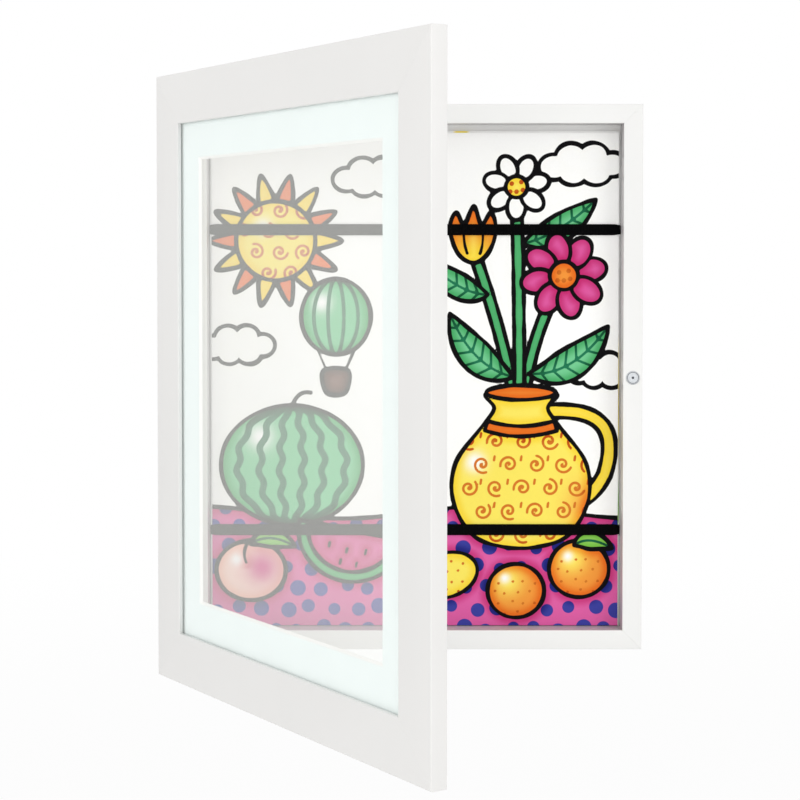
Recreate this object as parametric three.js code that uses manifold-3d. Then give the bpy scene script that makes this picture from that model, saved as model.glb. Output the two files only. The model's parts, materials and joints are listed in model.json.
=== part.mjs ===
// A wall-hung frame for changing displays of drawings. A shallow case hangs on the wall and keeps a
// pile of sheets behind two elastic straps. A wider door frame with a clear pane and a window mat is
// hinged on the case's left side and closes over it on a magnet.
//
// Millimetres. X runs to the right, Y into the wall and Z up. The origin is the middle of the top
// rail's rear face, which lies against the wall. The door stands open, as it rests in this model.

import * as THREE from 'three';
import { mergeVertices } from 'three/addons/utils/BufferGeometryUtils.js';
import Module from 'manifold-3d';

const wasm = await Module();
wasm.setup();

// Sheets
const sheetWidth = 257;
const sheetHeight = 312;
const sheetThickness = 0.35;
const pileThickness = 2;
const sheetSideGap = 1.6;
const sheetTopGap = 5;
const sheetBottomGap = 0.5;

// Case
const caseRailWidth = 12;
const caseDepth = 24;
const caseRebate = 6;
const caseEdgeRound = 0.8;
const panelThickness = 3;
const panelRecess = 4;
const panelEdgeGap = 0.3;
const mitreGap = 0.12;
const layGap = 0.12;

// Elastic straps
const strapWidth = 7;
const strapThickness = 0.8;
const strapTail = 20;
const strapBend = 0.5;
const strapSpacing = 190;
const strapEdgeGap = 0.3;
const slitGap = 0.5;

// Staples that hold the strap ends
const stapleWire = 0.7;
const stapleCrown = 9.5;
const stapleLeg = 2.4;
const stapleFromEnd = 6;
const stapleClearance = 0.15;

// Sawtooth hangers and their rivets
const hangerLength = 44;
const hangerWidth = 9;
const hangerSheet = 0.7;
const hangerRise = 1.1;
const hangerFoot = 9;
const hangerFromEdge = 16;
const toothPitch = 2.6;
const toothDepth = 1.6;
const toothLand = 0.4;
const rivetRadius = 1.1;
const rivetHeadRadius = 2.1;
const rivetHead = 0.6;
const rivetClearance = 0.15;
const rivetDepth = 3.2;

// Flexible points that hold the back panel and the pane
const pointWidth = 5;
const pointLength = 13;
const pointThickness = 0.5;
const pointDrive = 4.5;
const pointClearance = 0.25;
const panelPointFromStrap = 30;
const doorPointInset = 60;

// Door frame
const doorFace = 31;
const doorThickness = 9.5;
const doorOverhang = 17.4;
const doorLip = 2.5;
const doorRebate = 4.5;
const doorEdgeRound = 0.7;
const doorGap = 1;
const doorMitreGap = 0.15;
const doorOpenAngle = 58.2;

// Pane and mat
const paneThickness = 1.2;
const matThickness = 1.5;
const matBorder = 22;
const glazingGap = 0.3;

// Hinges
const hingeLength = 30;
const hingeLeafWidth = 12;
const hingeInset = 52;
const pinRadius = 1;
const pinClearance = 0.1;
const leafThickness = 0.9;
const knuckleGap = 0.3;
const hingeSeat = 0.3;
const pinHeadRadius = 1.6;
const pinHeadHeight = 0.6;

// Countersunk screws
const screwShankRadius = 1;
const screwHeadRadius = 2.1;
const screwLength = 6.5;
const screwTip = 1.2;
const screwClearance = 0.2;
const hingeScrewInset = 7.4;
const hingeScrewSpacing = 16;

// Magnetic catch
const magnetRadius = 4.3;
const magnetDepth = 5;
const magnetProud = 0.4;
const magnetHoleRadius = 0.9;
const magnetHoleDepth = 2;
const strikeWidth = 15;
const strikeHeight = 11;
const strikeThickness = 1.1;
const strikeProud = 0.3;
const strikeCorner = 2;
const strikeClearance = 0.3;
const strikeScrewInset = 4.2;
const strikeFromRebate = 1.3;
const magnetClearance = 0.15;

const roundSides = 24;
const cornerSteps = 4;

// Sizes that follow from the ones above
const wellWidth = sheetWidth + 2 * sheetSideGap;
const wellHeight = sheetHeight + sheetTopGap + sheetBottomGap;
const caseWidth = wellWidth + 2 * caseRailWidth;
const caseHeight = wellHeight + 2 * caseRailWidth;
const caseTop = (caseRailWidth - caseRebate) / 2;
const caseMiddle = caseTop - caseHeight / 2;
const caseFront = -caseDepth;
const panelBack = -panelRecess;
const panelFront = panelBack - panelThickness;
const rebateShoulder = panelFront - layGap;
const doorWidth = caseWidth + 2 * doorOverhang;
const doorHeight = caseHeight + 2 * doorOverhang;
const knuckleRadius = pinRadius + pinClearance + leafThickness;
const axisOffset = knuckleRadius + hingeSeat;
const doorBack = caseFront - doorGap;
const doorFront = doorBack - doorThickness;
const hingeAxisX = -caseWidth / 2 - axisOffset;
const hingeAxisY = doorBack + axisOffset;
const sheetMiddle = caseMiddle + (sheetBottomGap - sheetTopGap) / 2;

const finishes = {
  caseWhite: { color: 0xf4f4f2, roughness: 0.45, metalness: 0 },
  doorWhite: { color: 0xecebe9, roughness: 0.42, metalness: 0 },
  hardboard: { color: 0x7a5a3c, roughness: 0.8, metalness: 0 },
  paper: { color: 0xfbfaf6, roughness: 0.9, metalness: 0 },
  pile: { color: 0xf3e9a0, roughness: 0.9, metalness: 0 },
  elastic: { color: 0x0d0d0f, roughness: 0.85, metalness: 0 },
  steel: { color: 0xb9bcc0, roughness: 0.35, metalness: 1 },
  nickel: { color: 0xd4d3cf, roughness: 0.25, metalness: 1 },
  pane: { color: 0xf2f7f7, roughness: 0.05, metalness: 0 },
  mat: { color: 0xe9f6f7, roughness: 0.9, metalness: 0 },
};

// Solids and cuts

// The geometry as a solid: shared vertices are merged and the collapsed triangles of a pole dropped.
function toSolid(geometry) {
  const bare = geometry.clone();
  bare.deleteAttribute('normal');
  bare.deleteAttribute('uv');
  const merged = mergeVertices(bare, 1e-4);
  const corners = merged.index.array;
  const triangles = [];
  for (let i = 0; i < corners.length; i += 3) {
    const [a, b, c] = corners.slice(i, i + 3);
    if (a !== b && b !== c && c !== a) triangles.push(a, b, c);
  }
  return new wasm.Manifold(new wasm.Mesh({
    numProp: 3,
    vertProperties: new Float32Array(merged.attributes.position.array),
    triVerts: new Uint32Array(triangles),
  }));
}

function toGeometry(solid) {
  const mesh = solid.getMesh();
  const geometry = new THREE.BufferGeometry();
  geometry.setAttribute('position', new THREE.BufferAttribute(new Float32Array(mesh.vertProperties), 3));
  geometry.setIndex(new THREE.BufferAttribute(new Uint32Array(mesh.triVerts), 1));
  geometry.computeVertexNormals();
  return geometry;
}

// Cuts each geometry, placed as its object is in the model, out of the target.
function cutAway(target, cuts) {
  target.updateWorldMatrix(true, false);
  const toTarget = target.matrixWorld.clone().invert();
  let solid = toSolid(target.geometry);
  for (const { geometry, like } of cuts) {
    like.updateWorldMatrix(true, false);
    const place = toTarget.clone().multiply(like.matrixWorld);
    solid = solid.subtract(toSolid(geometry.clone().applyMatrix4(place)));
  }
  target.geometry = toGeometry(solid);
}

function piece(name, geometry, finish) {
  const mesh = new THREE.Mesh(geometry, new THREE.MeshStandardMaterial(finishes[finish]));
  mesh.name = name;
  return mesh;
}

function at(object, x, y, z) {
  object.position.set(x, y, z);
  return object;
}

// A round bar along Z between two heights.
function bar(radius, low, high) {
  const geometry = new THREE.CylinderGeometry(radius, radius, high - low, roundSides);
  geometry.rotateX(Math.PI / 2);
  geometry.translate(0, 0, (low + high) / 2);
  return geometry;
}

// A turned piece whose profile is (radius, height), with its axis along Z.
function turned(profile) {
  const points = profile.map(([radius, height]) => new THREE.Vector2(radius, height));
  const geometry = new THREE.LatheGeometry(points, roundSides);
  geometry.rotateX(Math.PI / 2);
  return geometry;
}

// A flat sheet with its outline in X and Z, between two Y values.
function flat(shape, front, back) {
  const geometry = new THREE.ExtrudeGeometry(shape, {
    depth: back - front,
    bevelEnabled: false,
    curveSegments: cornerSteps,
  });
  geometry.rotateX(Math.PI / 2);
  geometry.translate(0, back, 0);
  return geometry;
}

function outline(points) {
  return new THREE.Shape(points.map(([x, z]) => new THREE.Vector2(x, z)));
}

function rectangle(width, height) {
  const x = width / 2;
  const z = height / 2;
  return outline([[-x, -z], [x, -z], [x, z], [-x, z]]);
}

function roundedRectangle(width, height, radius) {
  const x = width / 2 - radius;
  const z = height / 2 - radius;
  const shape = new THREE.Shape();
  shape.absarc(x, -z, radius, -Math.PI / 2, 0, false);
  shape.absarc(x, z, radius, 0, Math.PI / 2, false);
  shape.absarc(-x, z, radius, Math.PI / 2, Math.PI, false);
  shape.absarc(-x, -z, radius, Math.PI, 1.5 * Math.PI, false);
  return shape;
}

// Mitred mouldings

// A rail's section in (inset from the outer edge, Y), with rounded front edges and a rebate behind
// its inner edge.
function railSection(width, front, back, rebate, shoulder, round) {
  const shape = new THREE.Shape();
  shape.moveTo(0, back);
  shape.lineTo(0, front + round);
  shape.absarc(round, front + round, round, Math.PI, 1.5 * Math.PI, false);
  shape.absarc(width - round, front + round, round, 1.5 * Math.PI, 2 * Math.PI, false);
  shape.lineTo(width, shoulder);
  shape.lineTo(width - rebate, shoulder);
  shape.lineTo(width - rebate, back);
  return shape;
}

// The section runs along X and both ends are mitred at 45 degrees: a point at inset u ends at
// length / 2 - u, less half the mitre gap measured along the rail. The outer edge is at Z = 0.
function mitredRail(section, length, gap) {
  const geometry = new THREE.ExtrudeGeometry(section, {
    depth: 1,
    bevelEnabled: false,
    curveSegments: cornerSteps,
  });
  const points = geometry.attributes.position;
  for (let i = 0; i < points.count; i += 1) {
    const inset = points.getX(i);
    const side = points.getZ(i) > 0.5 ? 1 : -1;
    const reach = length / 2 - inset - gap / Math.SQRT2;
    points.setXYZ(i, side * reach, points.getY(i), -inset);
  }
  return geometry;
}

// Four rails round a rectangle that is centred on the given height.
function railSet(prefix, section, width, height, middle, gap, finish) {
  const sides = {
    top_rail: { length: width, turn: 0, x: 0, z: height / 2 },
    right_stile: { length: height, turn: 90, x: width / 2, z: 0 },
    bottom_rail: { length: width, turn: 180, x: 0, z: -height / 2 },
    left_stile: { length: height, turn: 270, x: -width / 2, z: 0 },
  };
  const rails = {};
  for (const [name, side] of Object.entries(sides)) {
    const rail = piece(`${prefix}_${name}`, mitredRail(section, side.length, gap), finish);
    rail.rotation.y = THREE.MathUtils.degToRad(side.turn);
    rails[name] = at(rail, side.x, 0, middle + side.z);
  }
  return rails;
}

// Fasteners

// A countersunk screw along -Z with its flat head at Z = 0.
const headDepth = screwHeadRadius - screwShankRadius;
const screwGeometry = turned([
  [0, -screwLength],
  [screwShankRadius, screwTip - screwLength],
  [screwShankRadius, -headDepth],
  [screwHeadRadius, 0],
  [0, 0],
]);

// The hole that it needs, with clearance all round and past its tip.
const holeRadius = screwShankRadius + screwClearance;
const screwHole = turned([
  [0, -screwLength - screwClearance],
  [holeRadius, -screwLength - screwClearance],
  [holeRadius, -headDepth],
  [screwHeadRadius + screwClearance, 0],
  [screwHeadRadius + screwClearance, screwClearance],
  [0, screwClearance],
]);

// A rivet along -Z whose head stands on Z = 0.
const rivetGeometry = turned([
  [0, -rivetDepth],
  [rivetRadius, -rivetDepth],
  [rivetRadius, 0],
  [rivetHeadRadius, 0],
  [rivetHeadRadius, rivetHead / 2],
  [rivetHeadRadius - rivetHead / 2, rivetHead],
  [0, rivetHead],
]);
const rivetHole = bar(rivetRadius + rivetClearance, -rivetDepth - rivetClearance, rivetHead);

// A flexible point, a flat steel tab driven in along +X. X = 0 is the wall that it enters, and its
// flat end lies on the piece that it holds.
function pointTab(spread) {
  const side = pointWidth / 2 + spread;
  const shoulder = pointDrive - pointWidth / 2;
  const tail = pointDrive - pointLength - spread;
  const tip = [pointDrive + spread, 0];
  const thickness = pointThickness / 2 + spread;
  const shape = outline([[tail, -side], [shoulder, -side], tip, [shoulder, side], [tail, side]]);
  return flat(shape, -thickness, thickness);
}

// Points round a rebate. Each place gives the way its point is driven, in degrees from +X to +Z,
// and how far it sits along that side. The rebate's walls are at halfWidth and halfHeight.
function pointSet(prefix, places, halfWidth, halfHeight, middle, y) {
  return places.map(({ way, along }, index) => {
    const turn = THREE.MathUtils.degToRad(way);
    const upright = way % 180 === 0;
    const x = upright ? Math.cos(turn) * halfWidth : along;
    const z = upright ? along : Math.sin(turn) * halfHeight;
    const tab = piece(`${prefix}_point_${index + 1}`, pointTab(0), 'steel');
    tab.rotation.y = -turn;
    return at(tab, x, y, middle + z);
  });
}

// Every tab's slot in the rail on its side.
function cutPointSlots(rails, tabs) {
  const bySide = { 0: 'right_stile', 90: 'top_rail', 180: 'left_stile', 270: 'bottom_rail' };
  for (const [side, name] of Object.entries(bySide)) {
    const own = tabs.filter((tab) => Math.round(-THREE.MathUtils.radToDeg(tab.rotation.y)) === Number(side));
    cutAway(rails[name], own.map((tab) => ({ geometry: pointTab(pointClearance), like: tab })));
  }
}

// Straps and their staples

// A strap's path seen from above: across the sheets, round their edges, through the panel and back
// in behind it. The outer and the inner side of the band are one strap thickness apart.
function strapOutline(halfSpan, front, back) {
  const outer = strapBend + strapThickness;
  const end = halfSpan - strapTail;
  const cornerX = halfSpan - outer;
  const low = front + outer;
  const high = back - outer;
  const quarter = Math.PI / 2;
  const shape = new THREE.Shape();
  shape.moveTo(-end, back);
  shape.lineTo(-cornerX, back);
  shape.absarc(-cornerX, high, outer, quarter, 2 * quarter, false);
  shape.absarc(-cornerX, low, outer, 2 * quarter, 3 * quarter, false);
  shape.absarc(cornerX, low, outer, 3 * quarter, 4 * quarter, false);
  shape.absarc(cornerX, high, outer, 0, quarter, false);
  shape.lineTo(end, back);
  shape.lineTo(end, back - strapThickness);
  shape.absarc(cornerX, high, strapBend, quarter, 0, true);
  shape.absarc(cornerX, low, strapBend, 4 * quarter, 3 * quarter, true);
  shape.absarc(-cornerX, low, strapBend, 3 * quarter, 2 * quarter, true);
  shape.absarc(-cornerX, high, strapBend, 2 * quarter, quarter, true);
  shape.lineTo(-end, back - strapThickness);
  return shape;
}

function strapGeometry(halfSpan, front, back) {
  const geometry = new THREE.ExtrudeGeometry(strapOutline(halfSpan, front, back), {
    depth: strapWidth,
    bevelEnabled: false,
    curveSegments: cornerSteps,
  });
  geometry.translate(0, 0, -strapWidth / 2);
  return geometry;
}

// A staple whose crown crosses a strap end along Z and whose legs enter the panel at Y = 0.
function stapleGeometry(spread) {
  const reach = stapleCrown / 2 + spread;
  const inner = stapleCrown / 2 - stapleWire - spread;
  const leg = -stapleLeg - spread;
  const under = strapThickness + 2 * layGap - spread;
  const top = strapThickness + 2 * layGap + stapleWire + spread;
  const shape = outline([
    [-reach, leg], [-inner, leg], [-inner, under], [inner, under],
    [inner, leg], [reach, leg], [reach, top], [-reach, top],
  ]);
  const depth = stapleWire + 2 * spread;
  const geometry = new THREE.ExtrudeGeometry(shape, { depth, bevelEnabled: false });
  geometry.translate(0, 0, -depth / 2);
  geometry.rotateY(-Math.PI / 2);
  return geometry;
}

// Sawtooth hanger

// The strip runs along X. Its feet lie on Y = 0 and its middle stands off by the rise, with teeth
// along the lower edge that settle on a nail.
function hangerGeometry() {
  const half = hangerLength / 2;
  const foot = half - hangerFoot;
  const ramp = foot - 2 * hangerRise;
  const under = [[-half, 0], [-foot, 0], [-ramp, hangerRise], [ramp, hangerRise], [foot, 0], [half, 0]];
  const over = under.map(([x, y]) => [x, y + hangerSheet]).reverse();
  const strip = new THREE.ExtrudeGeometry(outline([...under, ...over]), {
    depth: hangerWidth,
    bevelEnabled: false,
  });
  strip.translate(0, 0, -hangerWidth / 2);
  const edge = -hangerWidth / 2;
  const tip = edge + toothLand;
  const count = Math.floor((2 * ramp) / toothPitch);
  const start = -(count * toothPitch) / 2;
  const notches = [[start, edge - toothDepth]];
  for (let tooth = 0; tooth < count; tooth += 1) {
    notches.push([start + tooth * toothPitch, tip]);
    notches.push([start + (tooth + 0.5) * toothPitch, tip + toothDepth]);
  }
  notches.push([-start, tip], [-start, edge - toothDepth]);
  const cutter = flat(outline(notches), -hangerRise, 2 * (hangerRise + hangerSheet));
  return toGeometry(toSolid(strip).subtract(toSolid(cutter)));
}

// A hanger with a rivet through each foot, in a group that stands on the panel.
function hanger(name) {
  const group = new THREE.Group();
  const strip = piece(name, hangerGeometry(), 'steel');
  group.add(strip);
  const rivets = [-1, 1].map((side, index) => {
    const rivet = piece(`${name}_rivet_${index + 1}`, rivetGeometry, 'steel');
    rivet.rotation.x = -Math.PI / 2;
    group.add(at(rivet, side * (hangerLength - hangerFoot) / 2, hangerSheet + layGap, 0));
    return rivet;
  });
  const holes = rivets.map((like) => ({ geometry: rivetHole, like }));
  cutAway(strip, holes);
  return { group, holes };
}

// Butt hinges

// A leaf's plate lies along +X from the pin, seated on the -Y side, and its knuckles wrap the pin.
// Room is cut for the other leaf's knuckles, and a bore for the pin.
const sixth = hingeLength / 6;
const middleKnuckle = [[-sixth, sixth]];
const endKnuckles = [[-3 * sixth, -sixth - knuckleGap], [sixth + knuckleGap, 3 * sixth]];

function leafGeometry(own, others) {
  const plate = new THREE.BoxGeometry(hingeLeafWidth, leafThickness, hingeLength);
  plate.translate(hingeLeafWidth / 2, leafThickness / 2 - knuckleRadius, 0);
  let solid = toSolid(plate);
  for (const [low, high] of others) {
    const room = bar(knuckleRadius + knuckleGap, low - knuckleGap, high + knuckleGap);
    solid = solid.subtract(toSolid(room));
  }
  for (const [low, high] of own) {
    solid = solid.add(toSolid(bar(knuckleRadius, low, high)));
  }
  return toGeometry(solid.subtract(toSolid(bar(pinRadius + pinClearance, -hingeLength, hingeLength))));
}

// A leaf with its two countersunk screws, in a group on the pin's axis.
function hingeLeaf(name, own, others) {
  const group = new THREE.Group();
  const leaf = piece(name, leafGeometry(own, others), 'steel');
  group.add(leaf);
  const screws = [1, -1].map((side, index) => {
    const screw = piece(`${name}_screw_${index + 1}`, screwGeometry, 'nickel');
    screw.rotation.x = -Math.PI / 2;
    const face = leafThickness - knuckleRadius;
    group.add(at(screw, hingeScrewInset, face, side * hingeScrewSpacing / 2));
    return screw;
  });
  const holes = screws.map((like) => ({ geometry: screwHole, like }));
  cutAway(leaf, holes);
  return { group, holes };
}

function hingePin(name) {
  const end = hingeLength / 2 + knuckleGap;
  const chamfer = pinHeadHeight / 2;
  return piece(name, turned([
    [0, -end - pinHeadHeight],
    [pinHeadRadius - chamfer, -end - pinHeadHeight],
    [pinHeadRadius, -end - chamfer],
    [pinHeadRadius, -end],
    [pinRadius, -end],
    [pinRadius, end],
    [pinHeadRadius, end],
    [pinHeadRadius, end + chamfer],
    [pinHeadRadius - chamfer, end + pinHeadHeight],
    [0, end + pinHeadHeight],
  ]), 'steel');
}

// Case

function buildCase() {
  const group = new THREE.Group();
  const section = railSection(caseRailWidth, caseFront, 0, caseRebate, rebateShoulder, caseEdgeRound);
  const rails = railSet('case', section, caseWidth, caseHeight, caseMiddle, mitreGap, 'caseWhite');
  group.add(...Object.values(rails));

  const rebateHalfWidth = wellWidth / 2 + caseRebate;
  const rebateHalfHeight = wellHeight / 2 + caseRebate;
  const panelShape = rectangle(2 * (rebateHalfWidth - panelEdgeGap), 2 * (rebateHalfHeight - panelEdgeGap));
  const panel = piece('back_panel', flat(panelShape, panelFront, panelBack), 'hardboard');
  group.add(at(panel, 0, 0, caseMiddle));

  const sideAlong = strapSpacing / 2 - panelPointFromStrap;
  const tabs = pointSet('panel', [
    { way: 0, along: sideAlong },
    { way: 0, along: -sideAlong },
    { way: 90, along: 0 },
    { way: 180, along: sideAlong },
    { way: 180, along: -sideAlong },
    { way: 270, along: 0 },
  ], rebateHalfWidth, rebateHalfHeight, caseMiddle, panelBack + layGap + pointThickness / 2);
  group.add(...tabs);
  cutPointSlots(rails, tabs);

  const pileBack = panelFront - layGap;
  const pileFront = pileBack - pileThickness;
  const artBack = pileFront - layGap;
  const artFront = artBack - sheetThickness;
  const sheet = rectangle(sheetWidth, sheetHeight);
  group.add(at(piece('stored_sheets', flat(sheet, pileFront, pileBack), 'pile'), 0, 0, sheetMiddle));
  group.add(at(piece('art_sheet', flat(sheet, artFront, artBack), 'paper'), 0, 0, sheetMiddle));

  const halfSpan = sheetWidth / 2 + strapEdgeGap + strapThickness;
  const strapFront = artFront - layGap - strapThickness;
  const strapBack = panelBack + layGap + strapThickness;
  const throughPanel = 3 * panelThickness;
  const slit = new THREE.BoxGeometry(strapThickness + 2 * slitGap, throughPanel, strapWidth + 2 * slitGap);
  const panelCuts = [];
  for (const [place, side] of [['upper', 1], ['lower', -1]]) {
    const z = sheetMiddle + side * strapSpacing / 2;
    const strap = piece(`${place}_strap`, strapGeometry(halfSpan, strapFront, strapBack), 'elastic');
    group.add(at(strap, 0, 0, z));
    for (const [end, hand] of [['left', -1], ['right', 1]]) {
      const staple = piece(`${place}_strap_staple_${end}`, stapleGeometry(0), 'steel');
      group.add(at(staple, hand * (halfSpan - strapTail + stapleFromEnd), panelBack, z));
      panelCuts.push({ geometry: stapleGeometry(stapleClearance), like: staple });
      const opening = at(new THREE.Object3D(), hand * (halfSpan - strapThickness / 2), panelBack, z);
      panelCuts.push({ geometry: slit, like: opening });
    }
  }

  const topHanger = hanger('top_hanger');
  group.add(at(topHanger.group, 0, panelBack, caseMiddle + wellHeight / 2 - hangerFromEdge));
  const sideHanger = hanger('side_hanger');
  sideHanger.group.rotation.y = -Math.PI / 2;
  group.add(at(sideHanger.group, hangerFromEdge - wellWidth / 2, panelBack, caseMiddle));
  cutAway(panel, [...panelCuts, ...topHanger.holes, ...sideHanger.holes]);

  const magnet = piece('catch_magnet', turned([
    [0, -magnetDepth],
    [magnetRadius, -magnetDepth],
    [magnetRadius, 0],
    [magnetHoleRadius, 0],
    [magnetHoleRadius, -magnetHoleDepth],
    [0, -magnetHoleDepth],
  ]), 'nickel');
  magnet.rotation.x = Math.PI / 2;
  group.add(at(magnet, caseWidth / 2 - caseRailWidth / 2, caseFront - magnetProud, caseMiddle));
  const pocket = bar(magnetRadius + magnetClearance, -magnetDepth - magnetClearance, magnetDepth);
  cutAway(rails.right_stile, [{ geometry: pocket, like: magnet }]);
  return { group, rails };
}

// Door

// The mat's window is cut on a bevel, so it is wider in front by the mat's thickness on each side.
function matGeometry(width, height, windowWidth, windowHeight) {
  const cutter = new THREE.BoxGeometry(windowWidth, matThickness, windowHeight);
  const points = cutter.attributes.position;
  for (let i = 0; i < points.count; i += 1) {
    const slope = points.getY(i) < 0 ? matThickness : -matThickness;
    const x = points.getX(i) + Math.sign(points.getX(i)) * slope;
    const z = points.getZ(i) + Math.sign(points.getZ(i)) * slope;
    points.setXYZ(i, x, 2 * points.getY(i), z);
  }
  const sheet = new THREE.BoxGeometry(width, matThickness, height);
  return toGeometry(toSolid(sheet).subtract(toSolid(cutter)));
}

function buildDoor() {
  const group = new THREE.Group();
  const openingWidth = doorWidth - 2 * doorFace;
  const openingHeight = doorHeight - 2 * doorFace;
  const lipBack = doorFront + doorLip;
  const section = railSection(doorFace, doorFront, doorBack, doorRebate, lipBack, doorEdgeRound);
  const rails = railSet('door', section, doorWidth, doorHeight, caseMiddle, doorMitreGap, 'doorWhite');
  group.add(...Object.values(rails));

  const rebateHalfWidth = openingWidth / 2 + doorRebate;
  const rebateHalfHeight = openingHeight / 2 + doorRebate;
  const glazingWidth = 2 * (rebateHalfWidth - glazingGap);
  const glazingHeight = 2 * (rebateHalfHeight - glazingGap);
  const paneFront = lipBack + layGap;
  const paneBack = paneFront + paneThickness;
  const pane = piece('clear_pane', flat(rectangle(glazingWidth, glazingHeight), paneFront, paneBack), 'pane');
  group.add(at(pane, 0, 0, caseMiddle));
  const windowWidth = openingWidth - 2 * matBorder;
  const windowHeight = openingHeight - 2 * matBorder;
  const matFront = paneBack + layGap;
  const matBack = matFront + matThickness;
  const mat = piece('window_mat', matGeometry(glazingWidth, glazingHeight, windowWidth, windowHeight), 'mat');
  group.add(at(mat, 0, (matFront + matBack) / 2, caseMiddle));

  const sideAlong = rebateHalfHeight - doorPointInset;
  const endAlong = rebateHalfWidth - doorPointInset;
  const tabs = pointSet('pane', [
    { way: 0, along: sideAlong },
    { way: 0, along: -sideAlong },
    { way: 90, along: endAlong },
    { way: 90, along: -endAlong },
    { way: 180, along: sideAlong },
    { way: 180, along: -sideAlong },
    { way: 270, along: endAlong },
    { way: 270, along: -endAlong },
  ], rebateHalfWidth, rebateHalfHeight, caseMiddle, matBack + layGap + pointThickness / 2);
  group.add(...tabs);
  cutPointSlots(rails, tabs);

  const strikeX = rebateHalfWidth + strikeFromRebate + strikeWidth / 2;
  const strikeBack = doorBack + strikeProud;
  const plate = piece('strike_plate', strikePlate(strikeWidth, strikeHeight, 0), 'nickel');
  group.add(at(plate, strikeX, strikeBack, caseMiddle));
  const strikeScrew = piece('strike_screw', screwGeometry, 'nickel');
  strikeScrew.rotation.x = -Math.PI / 2;
  group.add(at(strikeScrew, strikeX + strikeWidth / 2 - strikeScrewInset, strikeBack, caseMiddle));
  cutAway(plate, [{ geometry: screwHole, like: strikeScrew }]);
  const pocket = strikePlate(strikeWidth, strikeHeight, strikeClearance);
  const cuts = [{ geometry: pocket, like: plate }, { geometry: screwHole, like: strikeScrew }];
  cutAway(rails.right_stile, cuts);
  return { group, rails };
}

// The strike plate's rear face is at Y = 0. With clearance it is the pocket that takes the plate.
function strikePlate(width, height, clearance) {
  const shape = roundedRectangle(width + 2 * clearance, height + 2 * clearance, strikeCorner + clearance);
  return flat(shape, -strikeThickness - clearance, clearance > 0 ? doorThickness : 0);
}

// Assembly

const frame = new THREE.Group();
frame.name = 'art_display_frame';
const theCase = buildCase();
const theDoor = buildDoor();
frame.add(theCase.group);

// The door turns about the hinge axis. Inside the turned group its pieces keep the places that they
// have when it is closed.
const doorTurn = new THREE.Group();
doorTurn.rotation.z = -THREE.MathUtils.degToRad(doorOpenAngle);
frame.add(at(doorTurn, hingeAxisX, hingeAxisY, 0));
doorTurn.add(at(theDoor.group, -hingeAxisX, -hingeAxisY, 0));

for (const [place, side] of [['upper', 1], ['lower', -1]]) {
  const z = caseMiddle + side * (caseHeight / 2 - hingeInset);
  const caseLeaf = hingeLeaf(`${place}_hinge_case_leaf`, endKnuckles, middleKnuckle);
  caseLeaf.group.rotation.z = Math.PI / 2;
  theCase.group.add(at(caseLeaf.group, hingeAxisX, hingeAxisY, z));
  theCase.group.add(at(hingePin(`${place}_hinge_pin`), hingeAxisX, hingeAxisY, z));
  cutAway(theCase.rails.left_stile, caseLeaf.holes);
  const doorLeaf = hingeLeaf(`${place}_hinge_door_leaf`, middleKnuckle, endKnuckles);
  doorLeaf.group.rotation.y = Math.PI;
  theDoor.group.add(at(doorLeaf.group, hingeAxisX, hingeAxisY, z));
  cutAway(theDoor.rails.left_stile, doorLeaf.holes);
}

export default frame;
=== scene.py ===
# The looks of the art display frame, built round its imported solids. Metres, +X right, +Y into the
# wall, +Z up. The case hangs on the wall and the door stands open as it rests in the model.
import json
import math
from fnmatch import fnmatchcase
import bmesh
import bpy
import numpy as np
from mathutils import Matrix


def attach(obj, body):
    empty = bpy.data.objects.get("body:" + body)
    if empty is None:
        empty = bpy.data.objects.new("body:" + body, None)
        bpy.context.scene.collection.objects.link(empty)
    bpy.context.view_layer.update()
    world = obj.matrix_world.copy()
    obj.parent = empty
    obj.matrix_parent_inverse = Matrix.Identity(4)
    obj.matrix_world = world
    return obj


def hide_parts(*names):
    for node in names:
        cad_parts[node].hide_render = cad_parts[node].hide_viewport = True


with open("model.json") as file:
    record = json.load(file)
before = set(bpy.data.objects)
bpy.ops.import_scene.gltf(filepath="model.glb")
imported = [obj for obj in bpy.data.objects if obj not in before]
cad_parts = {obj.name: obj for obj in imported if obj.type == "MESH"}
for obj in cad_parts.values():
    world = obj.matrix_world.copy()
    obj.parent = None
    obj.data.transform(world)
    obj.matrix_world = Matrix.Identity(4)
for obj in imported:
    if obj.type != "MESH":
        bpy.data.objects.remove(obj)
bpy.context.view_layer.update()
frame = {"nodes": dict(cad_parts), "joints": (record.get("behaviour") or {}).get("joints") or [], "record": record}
mm = 0.001
bodyOf = {node: body for body, nodes in frame["record"]["behaviour"]["bodies"].items() for node in nodes}
hinge = frame["joints"][0]
hingeAt = np.array(hinge["pos_m"])
openAngle = math.radians(-hinge["range_deg"][0])  # from closed to the pose of the photo
print("frame loaded:", len(bodyOf), "nodes")


# Places

# A turn about the hinge's upright axis: x and y turn clockwise seen from above, z stays.
def swing(points, angle):
    c, s = math.cos(angle), math.sin(angle)
    q = points - hingeAt
    turned = np.column_stack([q[:, 0] * c + q[:, 1] * s, q[:, 1] * c - q[:, 0] * s, q[:, 2]])
    return turned + hingeAt


# Even angles of a full turn.
def fullTurn(count):
    return np.linspace(0, 2 * math.pi, count, endpoint=False)


# A node's points in millimetres, with the door taken back to its closed place.
def closedPoints(node):
    mesh = frame["nodes"][node].data
    flat = np.empty(len(mesh.vertices) * 3, np.float32)
    mesh.vertices.foreach_get("co", flat)
    points = flat.reshape(-1, 3).astype(float)
    return (swing(points, -openAngle) if bodyOf[node] == "door" else points) / mm


# A node's lowest and highest corner in its closed place, in millimetres.
def closedBox(node):
    points = closedPoints(node)
    return points.min(0), points.max(0)


# Node graphs

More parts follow.
